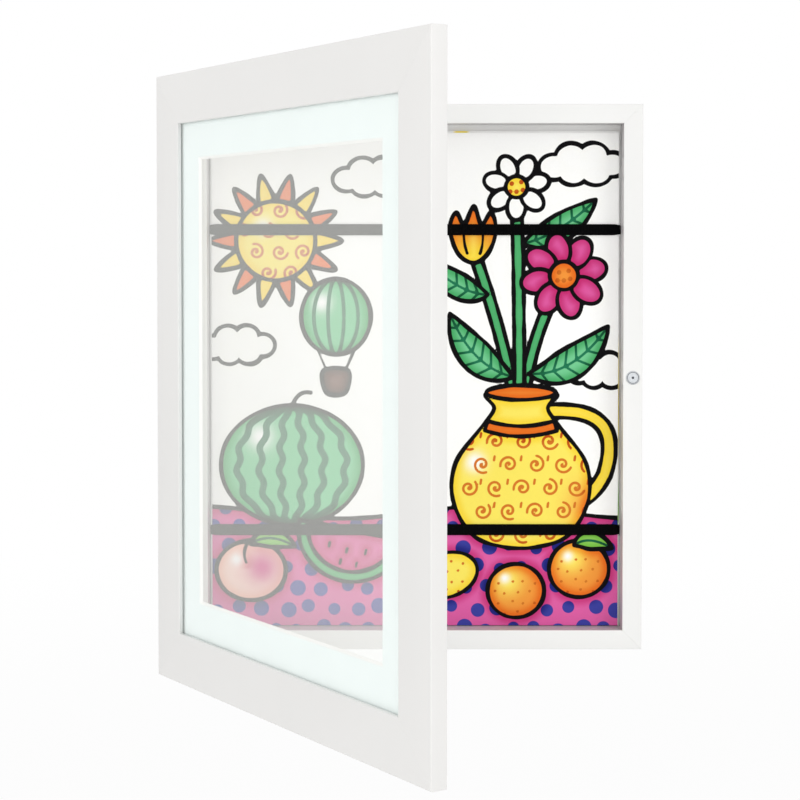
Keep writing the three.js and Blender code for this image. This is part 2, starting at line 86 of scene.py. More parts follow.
# Gives a node's inputs their values: a socket is linked, and a number or colour is set.
def feed(tree, node, inputs):
    for key, value in inputs.items():
        if isinstance(value, bpy.types.NodeSocket):
            tree.links.new(value, node.inputs[key])
        else:
            node.inputs[key].default_value = value


def addNode(tree, kind, inputs=None, **settings):
    node = tree.nodes.new("ShaderNode" + kind)
    for key, value in settings.items():
        setattr(node, key, value)
    feed(tree, node, inputs or {})
    return node


# The emptied node tree of a material or world, with its output.
def clearTree(owner, output):
    owner.use_nodes = True
    owner.node_tree.nodes.clear()
    return owner.node_tree, addNode(owner.node_tree, output)


# A material with a lone Principled shader on its surface.
def newMaterial(name):
    material = bpy.data.materials.new(name)
    tree, out = clearTree(material, "OutputMaterial")
    shader = addNode(tree, "BsdfPrincipled")
    feed(tree, out, {"Surface": shader.outputs["BSDF"]})
    return material, tree, shader


def objectPlace(tree, scale=(1, 1, 1), turn=0.0):
    source = addNode(tree, "TexCoord").outputs["Object"]
    mapping = addNode(tree, "Mapping", {"Vector": source, "Scale": scale, "Rotation": (0, 0, turn)})
    return mapping.outputs["Vector"]


def noise(tree, place, scale, detail, roughness=0.5):
    inputs = {"Vector": place, "Scale": scale, "Detail": detail, "Roughness": roughness}
    return addNode(tree, "TexNoise", inputs).outputs["Fac"]


# A value carried evenly, or smoothly at both ends, from one span to another and held at its limits.
def spread(tree, value, low, high, toLow, toHigh, smooth=False):
    inputs = {"Value": value, "From Min": low, "From Max": high, "To Min": toLow, "To Max": toHigh}
    kind = "SMOOTHSTEP" if smooth else "LINEAR"
    return addNode(tree, "MapRange", inputs, interpolation_type=kind).outputs["Result"]


def blendColours(tree, factor, first, second, kind="MIX"):
    inputs = {0: factor, 6: first, 7: second}  # the mix node's factor and its two colours
    return addNode(tree, "Mix", inputs, data_type="RGBA", blend_type=kind).outputs[2]


def doMath(tree, kind, first, second=0.0):
    return addNode(tree, "Math", {0: first, 1: second}, operation=kind).outputs[0]


noiseSpan = (0.3, 0.7)  # most of a noise's values lie in here


# A colour times a factor that goes from low to high with a noise.
def mottled(tree, colour, grain, low, high):
    return blendColours(tree, 1.0, colour, spread(tree, grain, *noiseSpan, low, high), "MULTIPLY")


# Relief on a shader, laid over the normal of an earlier one where there is one.
def bump(tree, shader, height, strength, depth, before=None):
    inputs = {"Height": height, "Strength": strength, "Distance": depth}
    if before is not None:
        inputs["Normal"] = before
    normal = addNode(tree, "Bump", inputs).outputs["Normal"]
    feed(tree, shader, {"Normal": normal})
    return normal


# A plain finish: its colour, its roughness and gloss, and relief from a height.
def finish(tree, shader, v, tone, height):
    feed(tree, shader, {"Base Color": tone, "Roughness": v["roughness"], "Specular IOR Level": v["specular"]})
    bump(tree, shader, height, *v["relief"])


# Screen levels of 0 to 255 as linear light, by the sRGB curve.
def linear(colour):
    c = np.asarray(colour, float) / 255
    return np.where(c <= 0.04045, c / 12.92, ((c + 0.055) / 1.055) ** 2.4)


def rgba(colour):
    return (*linear(colour), 1.0)


# Materials
# In each dictionary a noise is given by its scale, shades are factors of the colour, and relief is a
# bump's strength and its depth in metres.

# The door's white is a touch darker than the case's, as painted shade.
paint = dict(
    # inner is a grey for the case's inner walls, darker than the face paint as painted shade.
    case=(238, 238, 236), door=(235, 234, 232), inner=(198, 195, 196), specular=0.45,
    drift=14.0, shades=(0.988, 1.004), glossDrift=60.0, gloss=(0.36, 0.46),
    roller=210.0, rollerRelief=(0.10, 0.00025), orangePeel=900.0, peelRelief=(0.12, 0.00006),
)


# Satin paint: a colour that drifts by about one part in a hundred, a roller's soft dimples and the
# finer orange peel of a sprayed coat.
def paintMaterial(name, colour):
    material, tree, shader = newMaterial(name)
    v, place = paint, objectPlace(tree)
    feed(tree, shader, {
        "Base Color": mottled(tree, rgba(colour), noise(tree, place, v["drift"], 3.0), *v["shades"]),
        "Roughness": spread(tree, noise(tree, place, v["glossDrift"], 3.0), *noiseSpan, *v["gloss"]),
        "Specular IOR Level": v["specular"],
    })
    dimples = bump(tree, shader, noise(tree, place, v["roller"], 1.0), *v["rollerRelief"])
    bump(tree, shader, noise(tree, place, v["orangePeel"], 1.0), *v["peelRelief"], dimples)
    return material


hardboard = dict(
    dark=(101, 70, 46), light=(148, 110, 77), speck=(52, 33, 22), face=(246, 246, 244),
    roughness=0.72, specular=0.5, fibres=420.0, stretch=(1, 1, 2.2), fibreSpan=(0.32, 0.72),
    relief=(0.35, 0.0002), clouds=18.0, shades=(0.9, 1.06),
    specks=1500.0, speckSpan=(0.66, 0.72), speckShare=0.5,
)


# Hardboard: brown fibres in two sizes, darker specks and a faint felt, with one face painted white,
# which is the one in front of the given depth.
def hardboardMaterial(name, faceDepth):
    material, tree, shader = newMaterial(name)
    v, place = hardboard, objectPlace(tree)
    fibres = noise(tree, objectPlace(tree, v["stretch"]), v["fibres"], 6.0, 0.7)
    ramp = addNode(tree, "ValToRGB", {"Fac": fibres})
    for element, at, colour in zip(ramp.color_ramp.elements, v["fibreSpan"], (v["dark"], v["light"])):
        element.position, element.color = at, rgba(colour)
    tone = mottled(tree, ramp.outputs["Color"], noise(tree, place, v["clouds"], 3.0), *v["shades"])
    specks = spread(tree, noise(tree, place, v["specks"], 2.0), *v["speckSpan"], 0.0, v["speckShare"])
    tone = blendColours(tree, specks, tone, rgba(v["speck"]))
    depth = addNode(tree, "SeparateXYZ", {"Vector": place}).outputs["Y"]
    tone = blendColours(tree, doMath(tree, "LESS_THAN", depth, faceDepth), tone, rgba(v["face"]))
    finish(tree, shader, v, tone, fibres)
    return material


metal = dict(
    magnet=dict(colour=(174, 177, 180), gloss=(0.24, 0.40)),
    nickel=dict(colour=(184, 183, 180), gloss=(0.20, 0.38)),
    zinc=dict(colour=(163, 165, 170), gloss=(0.26, 0.46), stretch=(1, 1, 9), turn=openAngle / 2,
              contrast=0.22),
    scratches=900.0, haze=55.0, relief=(0.25, 0.00005),
)


# Metal with fine scratches along one way: noise drawn out along that way drives tone, gloss and
# relief, and a slow haze runs across it.
def metalMaterial(name, colour, gloss, stretch=(1, 1, 1), turn=0.0, contrast=0.1):
    material, tree, shader = newMaterial(name)
    lines = noise(tree, objectPlace(tree, stretch, turn), metal["scratches"], 4.0, 0.65)
    haze = noise(tree, objectPlace(tree), metal["haze"], 3.0)
    shades = (spread(tree, source, *noiseSpan, 1 - contrast, 1 + contrast / 3) for source in (haze, lines))
    tone = blendColours(tree, 1.0, rgba(colour), doMath(tree, "MULTIPLY", *shades), "MULTIPLY")
    gloss = spread(tree, lines, *noiseSpan, *gloss)
    feed(tree, shader, {"Base Color": tone, "Roughness": gloss, "Metallic": 1.0})
    bump(tree, shader, lines, *metal["relief"])
    return material


# groove is the dark grey of the magnet's groove, partly filler and partly painted shade, and of its hole, painted
# shade.
board = dict(
    face=(241, 253, 252), core=(250, 250, 247), groove=(84, 86, 92),
    mottle=40.0, shades=(0.985, 1.01), roughness=0.92, specular=0.5, felt=1400.0, relief=(0.25, 0.00012),
)


# Mat board: pale icy paper with soft fibres, or the white core that its bevel shows. The same dull finish in dark
# grey fills the magnet's groove, partly as a filler and partly as painted shade, and darkens its hole as painted
# shade.
def boardMaterial(name, colour):
    material, tree, shader = newMaterial(name)
    v, place = board, objectPlace(tree)
    tone = mottled(tree, rgba(colour), noise(tree, place, v["mottle"], 4.0), *v["shades"])
    finish(tree, shader, v, tone, noise(tree, place, v["felt"], 4.0, 0.7))
    return material


# light is the tone of the weave's crests, a painted highlight.
elastic = dict(
    dark=(2, 2, 2), light=(14, 14, 16), fibre=(24, 24, 27),
    picks=3.3, ribs=4.1,  # radians a millimetre
    fuzz=2.6, fuzzSpan=(0.55, 0.8), fuzzShare=0.4, roughness=0.85, specular=0.03, relief=(0.5, 0.00015),
)


# Woven elastic: ribs along the strap times picks across it, each the size of a sine over the strap's own map,
# which counts millimetres along and across, and a fuzz of paler fibres. The lighter tone on the weave's crests is
# a painted highlight.
def elasticMaterial(name):
    material, tree, shader = newMaterial(name)
    v = elastic
    place = addNode(tree, "UVMap", uv_map="weave").outputs["UV"]
    along = addNode(tree, "SeparateXYZ", {"Vector": place}).outputs
    threads = (doMath(tree, "ABSOLUTE", doMath(tree, "SINE", doMath(tree, "MULTIPLY", along[way], v[kind])))
               for way, kind in (("X", "picks"), ("Y", "ribs")))
    weave = doMath(tree, "MULTIPLY", *threads)
    fuzz = spread(tree, noise(tree, place, v["fuzz"], 4.0, 0.7), *v["fuzzSpan"], 0.0, v["fuzzShare"])
    # The crests of the weave are painted lighter, a painted highlight.
    tone = blendColours(tree, weave, rgba(v["dark"]), rgba(v["light"]))
    tone = blendColours(tree, fuzz, tone, rgba(v["fibre"]))
    finish(tree, shader, v, tone, weave)
    return material


# The pane's white colour, mixed in by the haze share, is a painted reflection of white surroundings.
pane = dict(
    colour=(254, 255, 250), refraction=1.46, haze=0.2,
    smear=30.0, stretch=(1, 1, 0.35), smearSpan=(0.3, 0.75), gloss=(0.05, 0.11),
)


# A safety pane whose pale haze is a painted reflection of white surroundings. Sight meets its two faces, so each
# holds back the haze's share, and the light of lamps and of white surroundings passes through it.
def paneMaterial(name):
    material, tree, shader = newMaterial(name)
    v = pane
    smear = noise(tree, objectPlace(tree, v["stretch"]), v["smear"], 4.0)
    path = addNode(tree, "LightPath").outputs
    lighting = doMath(tree, "MAXIMUM", path["Is Shadow Ray"], path["Is Diffuse Ray"])
    feed(tree, shader, {
        "Base Color": rgba(v["colour"]), "IOR": v["refraction"],
        "Roughness": spread(tree, smear, *v["smearSpan"], *v["gloss"]),
        "Alpha": spread(tree, lighting, 0.0, 1.0, v["haze"], 0.0),
    })
    return material


ink = dict(
    line=(11, 10, 12), edge=0.12, waverReach=0.28, deepReach=6.5,  # reaches in millimetres
    waver=75.0, deepShare=0.72, grain=900.0, shades=(0.985, 1.005), roughness=0.7, specular=0.06,
    relief=(0.12, 0.00005),
)


# Paper whose colour, line work and pattern come from the sheet's own attributes. Lines waver a little
# in width, and beside them a colour deepens to its own square, so white stays white.
def inkMaterial(name):
    material, tree, shader = newMaterial(name)
    v, place = ink, objectPlace(tree)
    fill, pattern = (addNode(tree, "Attribute", attribute_name=key).outputs["Color"]
                     for key in ("fill", "pattern"))
    lineGap, patternGap = (addNode(tree, "Attribute", attribute_name=key).outputs["Fac"]
                           for key in ("lineGap", "patternGap"))
    waver = spread(tree, noise(tree, place, v["waver"], 2.0), *noiseSpan, -v["waverReach"], v["waverReach"])
    lineGap = doMath(tree, "ADD", lineGap, waver)
    lined, patterned = (spread(tree, gap, -v["edge"], v["edge"], 1.0, 0.0) for gap in (lineGap, patternGap))
    drawn = blendColours(tree, patterned, fill, pattern)
    deeper = blendColours(tree, 1.0, drawn, drawn, "MULTIPLY")
    beside = spread(tree, lineGap, 0.0, v["deepReach"], v["deepShare"], 0.0, True)
    tone = blendColours(tree, beside, drawn, deeper)
    tone = blendColours(tree, lined, tone, rgba(v["line"]))
    grain = noise(tree, place, v["grain"], 3.0)
    finish(tree, shader, v, mottled(tree, tone, grain, *v["shades"]), grain)
    return material


pilePaper = dict(grain=1100.0, shades=(0.96, 1.01), roughness=0.85, specular=0.2, relief=(0.15, 0.00005))


# Sheets of paper in a pile, each tinted by its own attribute.
def pileMaterial(name):
    material, tree, shader = newMaterial(name)
    v = pilePaper
    tint = addNode(tree, "Attribute", attribute_name="tint").outputs["Color"]
    grain = noise(tree, objectPlace(tree), v["grain"], 3.0)
    finish(tree, shader, v, mottled(tree, tint, grain, *v["shades"]), grain)
    return material


panelFace = closedBox("back_panel")[0][1] + 0.1  # just behind the panel's front, in millimetres
finishes = dict(
    case_white=paintMaterial("caseWhitePaint", paint["case"]),
    # The door's paint, a touch darker than the case's, as painted shade.
    door_white=paintMaterial("doorWhitePaint", paint["door"]),
    hardboard=hardboardMaterial("facedHardboard", panelFace * mm),
    stored_paper=pileMaterial("pilePaper"),
    art_paper=inkMaterial("drawingPaper"),
    elastic=elasticMaterial("wovenElastic"),
    magnet=metalMaterial("platedMagnet", **metal["magnet"]),
    # The pane's pale haze is a painted reflection.
    pane=paneMaterial("hazySafetyPane"),
    mat_board=boardMaterial("icyMatBoard", board["face"]),
    nickel=metalMaterial("nickelPlate", **metal["nickel"]),
    steel=metalMaterial("brightZinc", **metal["zinc"]),
)
# A grey paint for the case's inner walls, as painted shade.
innerWallShade = paintMaterial("innerWallPaint", paint["inner"])
matCore = boardMaterial("matCore", board["core"])
# Dark grey for the magnet's groove, partly filler and partly painted shade, and for its hole, painted shade.
grooveFillAndShade = boardMaterial("darkGrooveFill", board["groove"])
print("materials made:", len(finishes))


# Meshes
# Measures are in millimetres until a shape is made, except where a note says metres.

def addObject(name, data):
    thing = bpy.data.objects.new(name, data)
    bpy.context.scene.collection.objects.link(thing)
    return thing


# One object from points and faces given for the closed door, shaded smooth below the sharp angle.
# extras holds point attributes, cornerUv a map with one pair per face corner in the order of the
# faces, and also a second finish with the numbers of its faces.
def makePiece(node, points, faces, sharp, extras=None, cornerUv=None, also=None):
    body = bodyOf[node]
    slotName = next(p["material_slot"] for p in frame["record"]["subparts"] if p["node"] == node)
    if body == "door":
        points = swing(points, openAngle)
    words = node.split("_")
    title = words[0] + "".join(w.capitalize() for w in words[1:])
    mesh = bpy.data.meshes.new(title)
    mesh.from_pydata(points.tolist(), [], [list(map(int, f)) for f in faces])
    for key, values in (extras or {}).items():
        kind, field = ("FLOAT_COLOR", "color") if values.ndim == 2 else ("FLOAT", "value")
        attribute = mesh.attributes.new(key, kind, "POINT")
        attribute.data.foreach_set(field, values.astype(np.float32).ravel())
    if cornerUv is not None:
        mesh.uv_layers.new(name="weave").data.foreach_set("uv", cornerUv.astype(np.float32).ravel())
    work = bmesh.new()
    work.from_mesh(mesh)
    bmesh.ops.recalc_face_normals(work, faces=work.faces)
    work.to_mesh(mesh)
    work.free()
    mesh.materials.append(finishes[slotName])
    if also is not None:
        material, chosen = also
        mesh.materials.append(material)
        index = np.zeros(len(mesh.polygons), np.int32)
        index[chosen] = 1
        mesh.polygons.foreach_set("material_index", index)
    mesh.shade_smooth()
    mesh.set_sharp_from_angle(angle=math.radians(sharp))
    thing = addObject(title, mesh)
    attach(thing, body)
    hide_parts(node)
    return thing


# Quads of a grid of rows by columns; a closed way joins its last line to its first.
def gridFaces(rows, columns, closeRows=False, closeColumns=False):
    i, j = np.indices((rows - (not closeRows), columns - (not closeColumns))).reshape(2, -1)
    nextI, nextJ = (i + 1) % rows, (j + 1) % columns
    quads = [i * columns + j, i * columns + nextJ, nextI * columns + nextJ, nextI * columns + j]
    return np.column_stack(quads)


# Quads of a closed tube of rows of points with the given count round, and one face at each end.
def tubeFaces(rows, count):
    ends = [list(range(count)), list(range(rows * count - 1, (rows - 1) * count - 1, -1))]
    return gridFaces(rows, count, closeColumns=True).tolist() + ends


# A closed profile whose corners are rounded: each arc is centre - r (next cos t + previous sin t)
# for t from 0 to 90 degrees, where next and previous point along the corner's two sides.
def roundedProfile(corners, radii, steps):
    corners, radii = np.array(corners, float), np.array(radii, float)[:, None]
    before = np.roll(corners, 1, 0) - corners
    after = np.roll(corners, -1, 0) - corners
    before /= np.linalg.norm(before, axis=1)[:, None]
    after /= np.linalg.norm(after, axis=1)[:, None]
    t = np.linspace(0, math.pi / 2, steps)[None, :, None]
    centre = (corners + radii * (before + after))[:, None, :]
    arcs = centre - radii[:, :, None] * (after[:, None, :] * np.cos(t) + before[:, None, :] * np.sin(t))
    return arcs.reshape(-1, 2)


# The profile moved inwards by a distance along its own normals.
def shrunk(profile, distance):
    along = np.roll(profile, -1, 0) - np.roll(profile, 1, 0)
    along /= np.linalg.norm(along, axis=1)[:, None]
    area = np.sum(profile[:, 0] * np.roll(profile[:, 1], -1) - profile[:, 1] * np.roll(profile[:, 0], -1))
    inward = np.column_stack([-along[:, 1], along[:, 0]]) * np.sign(area)
    return profile + distance * inward


# Unit steps along a path, as central differences over their length, and the unit vectors to their left.
def pathFrame(path):
    way = np.gradient(path, axis=0)
    way /= np.linalg.norm(way, axis=1)[:, None]
    return way, np.column_stack([-way[:, 1], way[:, 0]])


easing = dict(weld=2e-6, flat=1.0, sharp=38.0, segments=2)  # metres, degrees, degrees, steps


# A CAD node's own shape with its edges eased: a merged copy gets a narrow bevel and smooth shading.
def easedCopy(node, width):
    work = bmesh.new()
    work.from_mesh(frame["nodes"][node].data)
    bmesh.ops.remove_doubles(work, verts=work.verts, dist=easing["weld"])
    flat = math.radians(easing["flat"])
    bmesh.ops.dissolve_limit(work, angle_limit=flat, verts=work.verts, edges=work.edges)
    bmesh.ops.recalc_face_normals(work, faces=work.faces)
    work.verts.ensure_lookup_table()
    points = np.array([v.co[:] for v in work.verts])
    faces = [[v.index for v in f.verts] for f in work.faces]
    work.free()
    if bodyOf[node] == "door":
        points = swing(points, -openAngle)
    thing = makePiece(node, points, faces, sharp=easing["sharp"])
    bevel = thing.modifiers.new("easedEdges", "BEVEL")
    bevel.width, bevel.segments = width, easing["segments"]
    bevel.limit_method, bevel.angle_limit = "ANGLE", math.radians(easing["sharp"])
    bevel.use_clamp_overlap = True


# Mouldings

moulding = dict(
    case=dict(width=12.0, front=-24.0, back=0.0, rebate=6.0, shoulder=-7.12, edge=0.5, mitre=0.03),
    door=dict(width=31.0, front=-34.5, back=-25.0, rebate=4.5, shoulder=-32.0, edge=0.7, mitre=0.03),
    arris=0.25, rebateCorner=0.05, chamfer=0.04, steps=7,
)


# The rounded section is carried along X. A point at inset u ends at length / 2 - u, less the mitre's gap, and the
# section shrinks by the chamfer at both ends, so the joints read as fine grooves. The case's inner walls, one
# strip of each rail, get a darker grey paint as painted shade.
def buildRails(body):
    m = moulding[body]
    arris, chamfer, steps = moulding["arris"], moulding["chamfer"], moulding["steps"]
    inside = m["width"] - m["rebate"]
    corners = [(0, m["back"]), (0, m["front"]), (m["width"], m["front"]), (m["width"], m["shoulder"]),
               (inside, m["shoulder"]), (inside, m["back"])]
    radii = [arris, m["edge"], m["edge"], arris, moulding["rebateCorner"], arris]
    section = roundedProfile(corners, radii, steps)
    small = shrunk(section, chamfer)
    low, high = closedBox(body + "_bottom_rail")[0], closedBox(body + "_top_rail")[1]
    gap = m["mitre"] / math.sqrt(2)
    width, height, middle = high[0] - low[0] + 2 * gap, high[2] - low[2], (high[2] + low[2]) / 2
    count = len(section)
    # The inner wall strip gets the grey of painted shade.
    wall = [ring * count + 3 * steps - 1 for ring in range(3)]  # the strip from third to fourth corner
    sides = dict(top_rail=(width, 0, 0, height / 2), right_stile=(height, 1, width / 2, 0),
                 bottom_rail=(width, 2, 0, -height / 2), left_stile=(height, 3, -width / 2, 0))
    rings = ((-1, small, 0), (-1, section, chamfer), (1, section, chamfer), (1, small, 0))
    for side, (length, quarter, x, z) in sides.items():
        points = np.concatenate([
            np.column_stack([hand * (length / 2 - ring[:, 0] - gap - less), ring[:, 1], -ring[:, 0]])
            for hand, ring, less in rings])
        turn = quarter * math.pi / 2
        c, s = math.cos(turn), math.sin(turn)
        points = np.column_stack([points[:, 0] * c + points[:, 2] * s + x, points[:, 1],
                                  points[:, 2] * c - points[:, 0] * s + z + middle]) * mm
        makePiece(body + "_" + side, points, tubeFaces(4, count), sharp=28.0,
                  also=(innerWallShade, wall) if body == "case" else None)


buildRails("case")
buildRails("door")
print("mouldings made")


# Pane and mat

# A profile of inset and depth carried round the box between two corners, mitred at each turn.
def carriedRound(profile, low, high):
    inset, depth = profile[:, :1], profile[:, 1:]
    signs = np.array([(-1, -1), (1, -1), (1, 1), (-1, 1)])
    x = ((high[0] - low[0]) / 2 - inset) * signs[:, 0]
    z = ((high[2] - low[2]) / 2 - inset) * signs[:, 1] + (high[2] + low[2]) / 2
    y = np.broadcast_to(depth, x.shape)
    return np.stack([x, y, z], -1).reshape(-1, 3) * mm


glazing = dict(groundEdge=0.3, bevel=0.75, matArris=0.12)


# The pane's profile has its two edges ground off at 45 degrees.
def buildPane():
    low, high = closedBox("clear_pane")
    ground = glazing["groundEdge"]
    profile = np.array([(ground, low[1]), (0, low[1] + ground), (0, high[1] - ground), (ground, high[1])])
    makePiece("clear_pane", carriedRound(profile, low, high), tubeFaces(4, 4), sharp=20.0)


# The window's width at half the board's depth: the mean of the inner edges in front and behind.
def windowWidth(node):
    points = closedPoints(node)
    z = points[:, 2]
    inner = points[(z > z.min() + 1) & (z < z.max() - 1), 0]
    return np.abs(inner - (inner.max() + inner.min()) / 2).mean() * 2


# The window is cut on a bevel that shows the board's white core.
def buildMat():
    low, high = closedBox("window_mat")
    bevel, soft = glazing["bevel"], glazing["matArris"]
    inset = (high[0] - low[0] - windowWidth("window_mat")) / 2
    near, far = inset - bevel, inset + bevel
    profile = np.array([(0, high[1]), (0, low[1] + soft), (soft, low[1]), (near - soft, low[1]),
                        (near, low[1] + soft / 2), (far, high[1])])
    faces = gridFaces(6, 4, closeRows=True, closeColumns=True)
    bevelAndBack = slice(16, 24)  # four faces for each of the profile's last two sides
    makePiece("window_mat", carriedRound(profile, low, high), faces, sharp=20.0, also=(matCore, bevelAndBack))


buildPane()
buildMat()
print("pane and mat made")


# Straps

strap = dict(
    width=7.0, thickness=0.8, bend=0.9, bendSteps=9, tailX=109.6, sideX=129.2, frontY=-10.11, rearY=-3.48,
    station=0.35, around=60, squareness=0.35, ribs=7, ribDepth=0.05, ribSpan=0.97, pick=1.1, pickDepth=0.05,
    narrowing=0.16, narrowReach=2.2,
)


# The band's centre line runs across the sheets, round their edges, through the panel and back in
# behind it. Its section is a flat oval, a power of cosine and sine that keeps their signs, whose faces
# carry ribs. Picks scallop its two edges, and it narrows by a bell curve where it turns.
def buildStrap(node):
    v = strap
    low, high = closedBox(node)
    corners = np.array([(-v["tailX"], v["rearY"]), (-v["sideX"], v["rearY"]), (-v["sideX"], v["frontY"]),
                        (v["sideX"], v["frontY"]), (v["sideX"], v["rearY"]), (v["tailX"], v["rearY"])])
    rounded = roundedProfile(corners, [v["bend"]] * 6, v["bendSteps"]).reshape(6, -1, 2)[1:5].reshape(-1, 2)
    path = np.vstack([corners[:1], rounded, corners[-1:]])
    gaps = np.linalg.norm(np.diff(path, axis=0), axis=1)
    reach = np.concatenate([[0], np.cumsum(gaps)])
    s = np.linspace(0, reach[-1], int(reach[-1] / v["station"]))
    centre = np.column_stack([np.interp(s, reach, path[:, 0]), np.interp(s, reach, path[:, 1])])
    out = -pathFrame(centre)[1]
    around = fullTurn(v["around"])
    flatX, flatY = (np.sign(c) * np.abs(c) ** v["squareness"] for c in (np.cos(around), np.sin(around)))
    rib = v["ribDepth"] * np.cos(flatX * math.pi * v["ribs"]) * (np.abs(flatX) < v["ribSpan"])
    turnX = np.minimum(np.abs(np.abs(centre[:, 0]) - v["sideX"]), 3 * v["narrowReach"])
    narrow = 1 - v["narrowing"] * np.exp(-(turnX / v["narrowReach"]) ** 2)
    half = (v["width"] / 2 * narrow + v["pickDepth"] * np.cos(2 * math.pi * s / v["pick"]))[:, None]
    across = half * flatX
    lift = v["thickness"] / 2 * flatY - rib * np.sign(flatY)
    x, y = (centre[:, k:k + 1] + out[:, k:k + 1] * lift for k in (0, 1))
    points = np.stack([x, y, across + (low[2] + high[2]) / 2], -1).reshape(-1, 3) * mm
    faces = tubeFaces(*across.shape)
    row, column = np.divmod(np.array(faces[:-2]), v["around"])
    uv = np.stack([s[row], v["width"] / 2 * flatX[column]], -1).reshape(-1, 2)
    uv = np.vstack([uv, np.zeros((2 * v["around"], 2))])  # the two end faces
    makePiece(node, points, faces, cornerUv=uv, sharp=50.0)


buildStrap("upper_strap")
buildStrap("lower_strap")
print("straps made")


# Sheets

pile = dict(
    count=18, slipX=0.45, slipZ=0.6, mostX=1.1, mostZ=1.3, thickness=0.1, edgePoints=120, seed=11,
    colours=(("right", -208, -151, "yellow"), ("right", -180, -174, "brown"), ("right", -262, -236, "leaf"),
             ("top", 26, 34, "yellow"), ("top", -96, -62, "green"), ("bottom", 40, 86, "orange")),
    colourSlip=0.12,
)
inks = dict(  # screen levels
    white=(254, 254, 252), yellow=(251, 231, 100), orange=(240, 150, 60), swirl=(212, 118, 42),
    pink=(222, 98, 165), blue=(62, 66, 158), green=(115, 200, 145), darkGreen=(36, 118, 82),
    brown=(125, 85, 70), skin=(250, 216, 202), magenta=(214, 60, 140), leaf=(160, 214, 110),
)


# A pile of loose sheets. Each is a thin box with many points along its rim, slipped a little against
# the others. The rims are white but for a few stretches, where a drawing reaches the edge.
def buildPile():
    v = pile
    rng = np.random.default_rng(v["seed"])
    low, high = closedBox("stored_sheets")
    half, middle = (high - low) / 2, (high + low) / 2
    side = np.linspace(-1, 1, v["edgePoints"], endpoint=False)
    ones = np.ones_like(side)
    rim = np.concatenate([np.column_stack([side, -ones]), np.column_stack([ones, side]),
                          np.column_stack([-side, ones]), np.column_stack([-ones, -side])])
    sideOf = np.repeat(["bottom", "right", "top", "left"], v["edgePoints"])
    count = len(rim)
    step = (high[1] - low[1]) / v["count"]
    points, faces, tints = [], [], []
    for k in range(v["count"]):
        slipX = np.clip(rng.normal(0, v["slipX"]), -v["mostX"], v["mostX"])
        slipZ = min(abs(rng.normal(0, v["slipZ"])), v["mostZ"])
        front = low[1] + k * step
        x = middle[0] + rim[:, 0] * half[0] + slipX
        z = middle[2] + rim[:, 1] * half[2] + np.where(rim[:, 1] == 1, slipZ, 0.0)
        points += [np.column_stack([x, np.full(count, y), z]) for y in (front, front + v["thickness"])]
        faces += [[i + 2 * k * count for i in face] for face in tubeFaces(2, count)]
        tint = np.tile(linear(inks["white"]), (count, 1))
        for place, begin, end, colour in v["colours"]:
            along = x if place in ("top", "bottom") else z
            shift = rng.normal(0, v["colourSlip"] * (end - begin))
            tint[(sideOf == place) & (along > begin + shift) & (along < end + shift)] = linear(inks[colour])
        tints.append(np.tile(tint, (2, 1)))
    tint = np.vstack(tints)
    makePiece("stored_sheets", np.vstack(points) * mm, faces, sharp=20.0,
              extras={"tint": np.column_stack([tint, np.ones(len(tint))])})


buildPile()


# Closed outlines for the drawing, in millimetres from the sheet's middle

# An oval: the half widths times cosine and sine, turned by an angle in degrees and moved to x, z.
def oval(x, z, rx, rz, turn=0.0, count=64):
    t = fullTurn(count)
    c, s = math.cos(math.radians(turn)), math.sin(math.radians(turn))
    a, b = rx * np.cos(t), rz * np.sin(t)
    return np.column_stack([x + a * c - b * s, z + a * s + b * c])


# A cloud's puffs: ovals placed and sized by shares of its half width and half height.
def puffs(x, z, rx, rz):
    shares = ((-0.68, -0.12, 0.36, 0.62), (-0.28, 0.32, 0.38, 0.72), (0.24, 0.40, 0.36, 0.66),
              (0.68, 0.0, 0.34, 0.6), (0.30, -0.42, 0.36, 0.58), (-0.24, -0.46, 0.34, 0.54),
              (0.0, 0.0, 0.6, 0.6))
    return [oval(x + a * rx, z + b * rz, c * rx, d * rz) for a, b, c, d in shares]


# A smooth loop through the points, by the Catmull-Rom cubic between each pair.
def smoothLoop(points, steps=9):
    p = np.array(points, float)
    t = np.linspace(0, 1, steps, endpoint=False)[None, :, None]
    a, b, c, d = (np.roll(p, k, 0)[:, None, :] for k in (1, 0, -1, -2))
    squared, cubed = 2 * a - 5 * b + 4 * c - d, 3 * b - a - 3 * c + d
    return (0.5 * (2 * b + (c - a) * t + squared * t ** 2 + cubed * t ** 3)).reshape(-1, 2)


# A band of even width along an open path, closed at both ends.
def band(path, width):
    side = pathFrame(path)[1] * width / 2
    return np.vstack([path + side, (path - side)[::-1]])


# An arc of a quadratic curve from a to b that bends towards the middle point.
def curve(a, middle, b, count=24):
    t = np.linspace(0, 1, count)[:, None]
    a, middle, b = (np.array(p, float) for p in (a, middle, b))
    return (1 - t) ** 2 * a + 2 * t * (1 - t) * middle + t ** 2 * b


# A leaf from stem to tip: its half width is w sin(pi t)^0.8 along a bent midrib.
def leafLoop(a, middle, b, width, count=26):
    rib = curve(a, middle, b, count)
    half = width / 2 * np.sin(np.linspace(0, math.pi, count)) ** 0.8
    side = pathFrame(rib)[1] * half[:, None]
    return np.vstack([rib + side, (rib - side)[-2:0:-1]])


# A leaf's midrib and its veins, which leave it at a slant of half a width out to a third forwards.
def leafVeins(a, middle, b, width, count):
    rib = curve(a, middle, b, count + 3)
    way, side = pathFrame(rib)
    lines = [curve(a, middle, b)]
    for p, w, n in zip(rib[1:-1], way[1:-1], side[1:-1]):
        lines += [np.array([p, p + hand * n * width / 2 + w * width * 0.32]) for hand in (-1, 1)]
    return lines


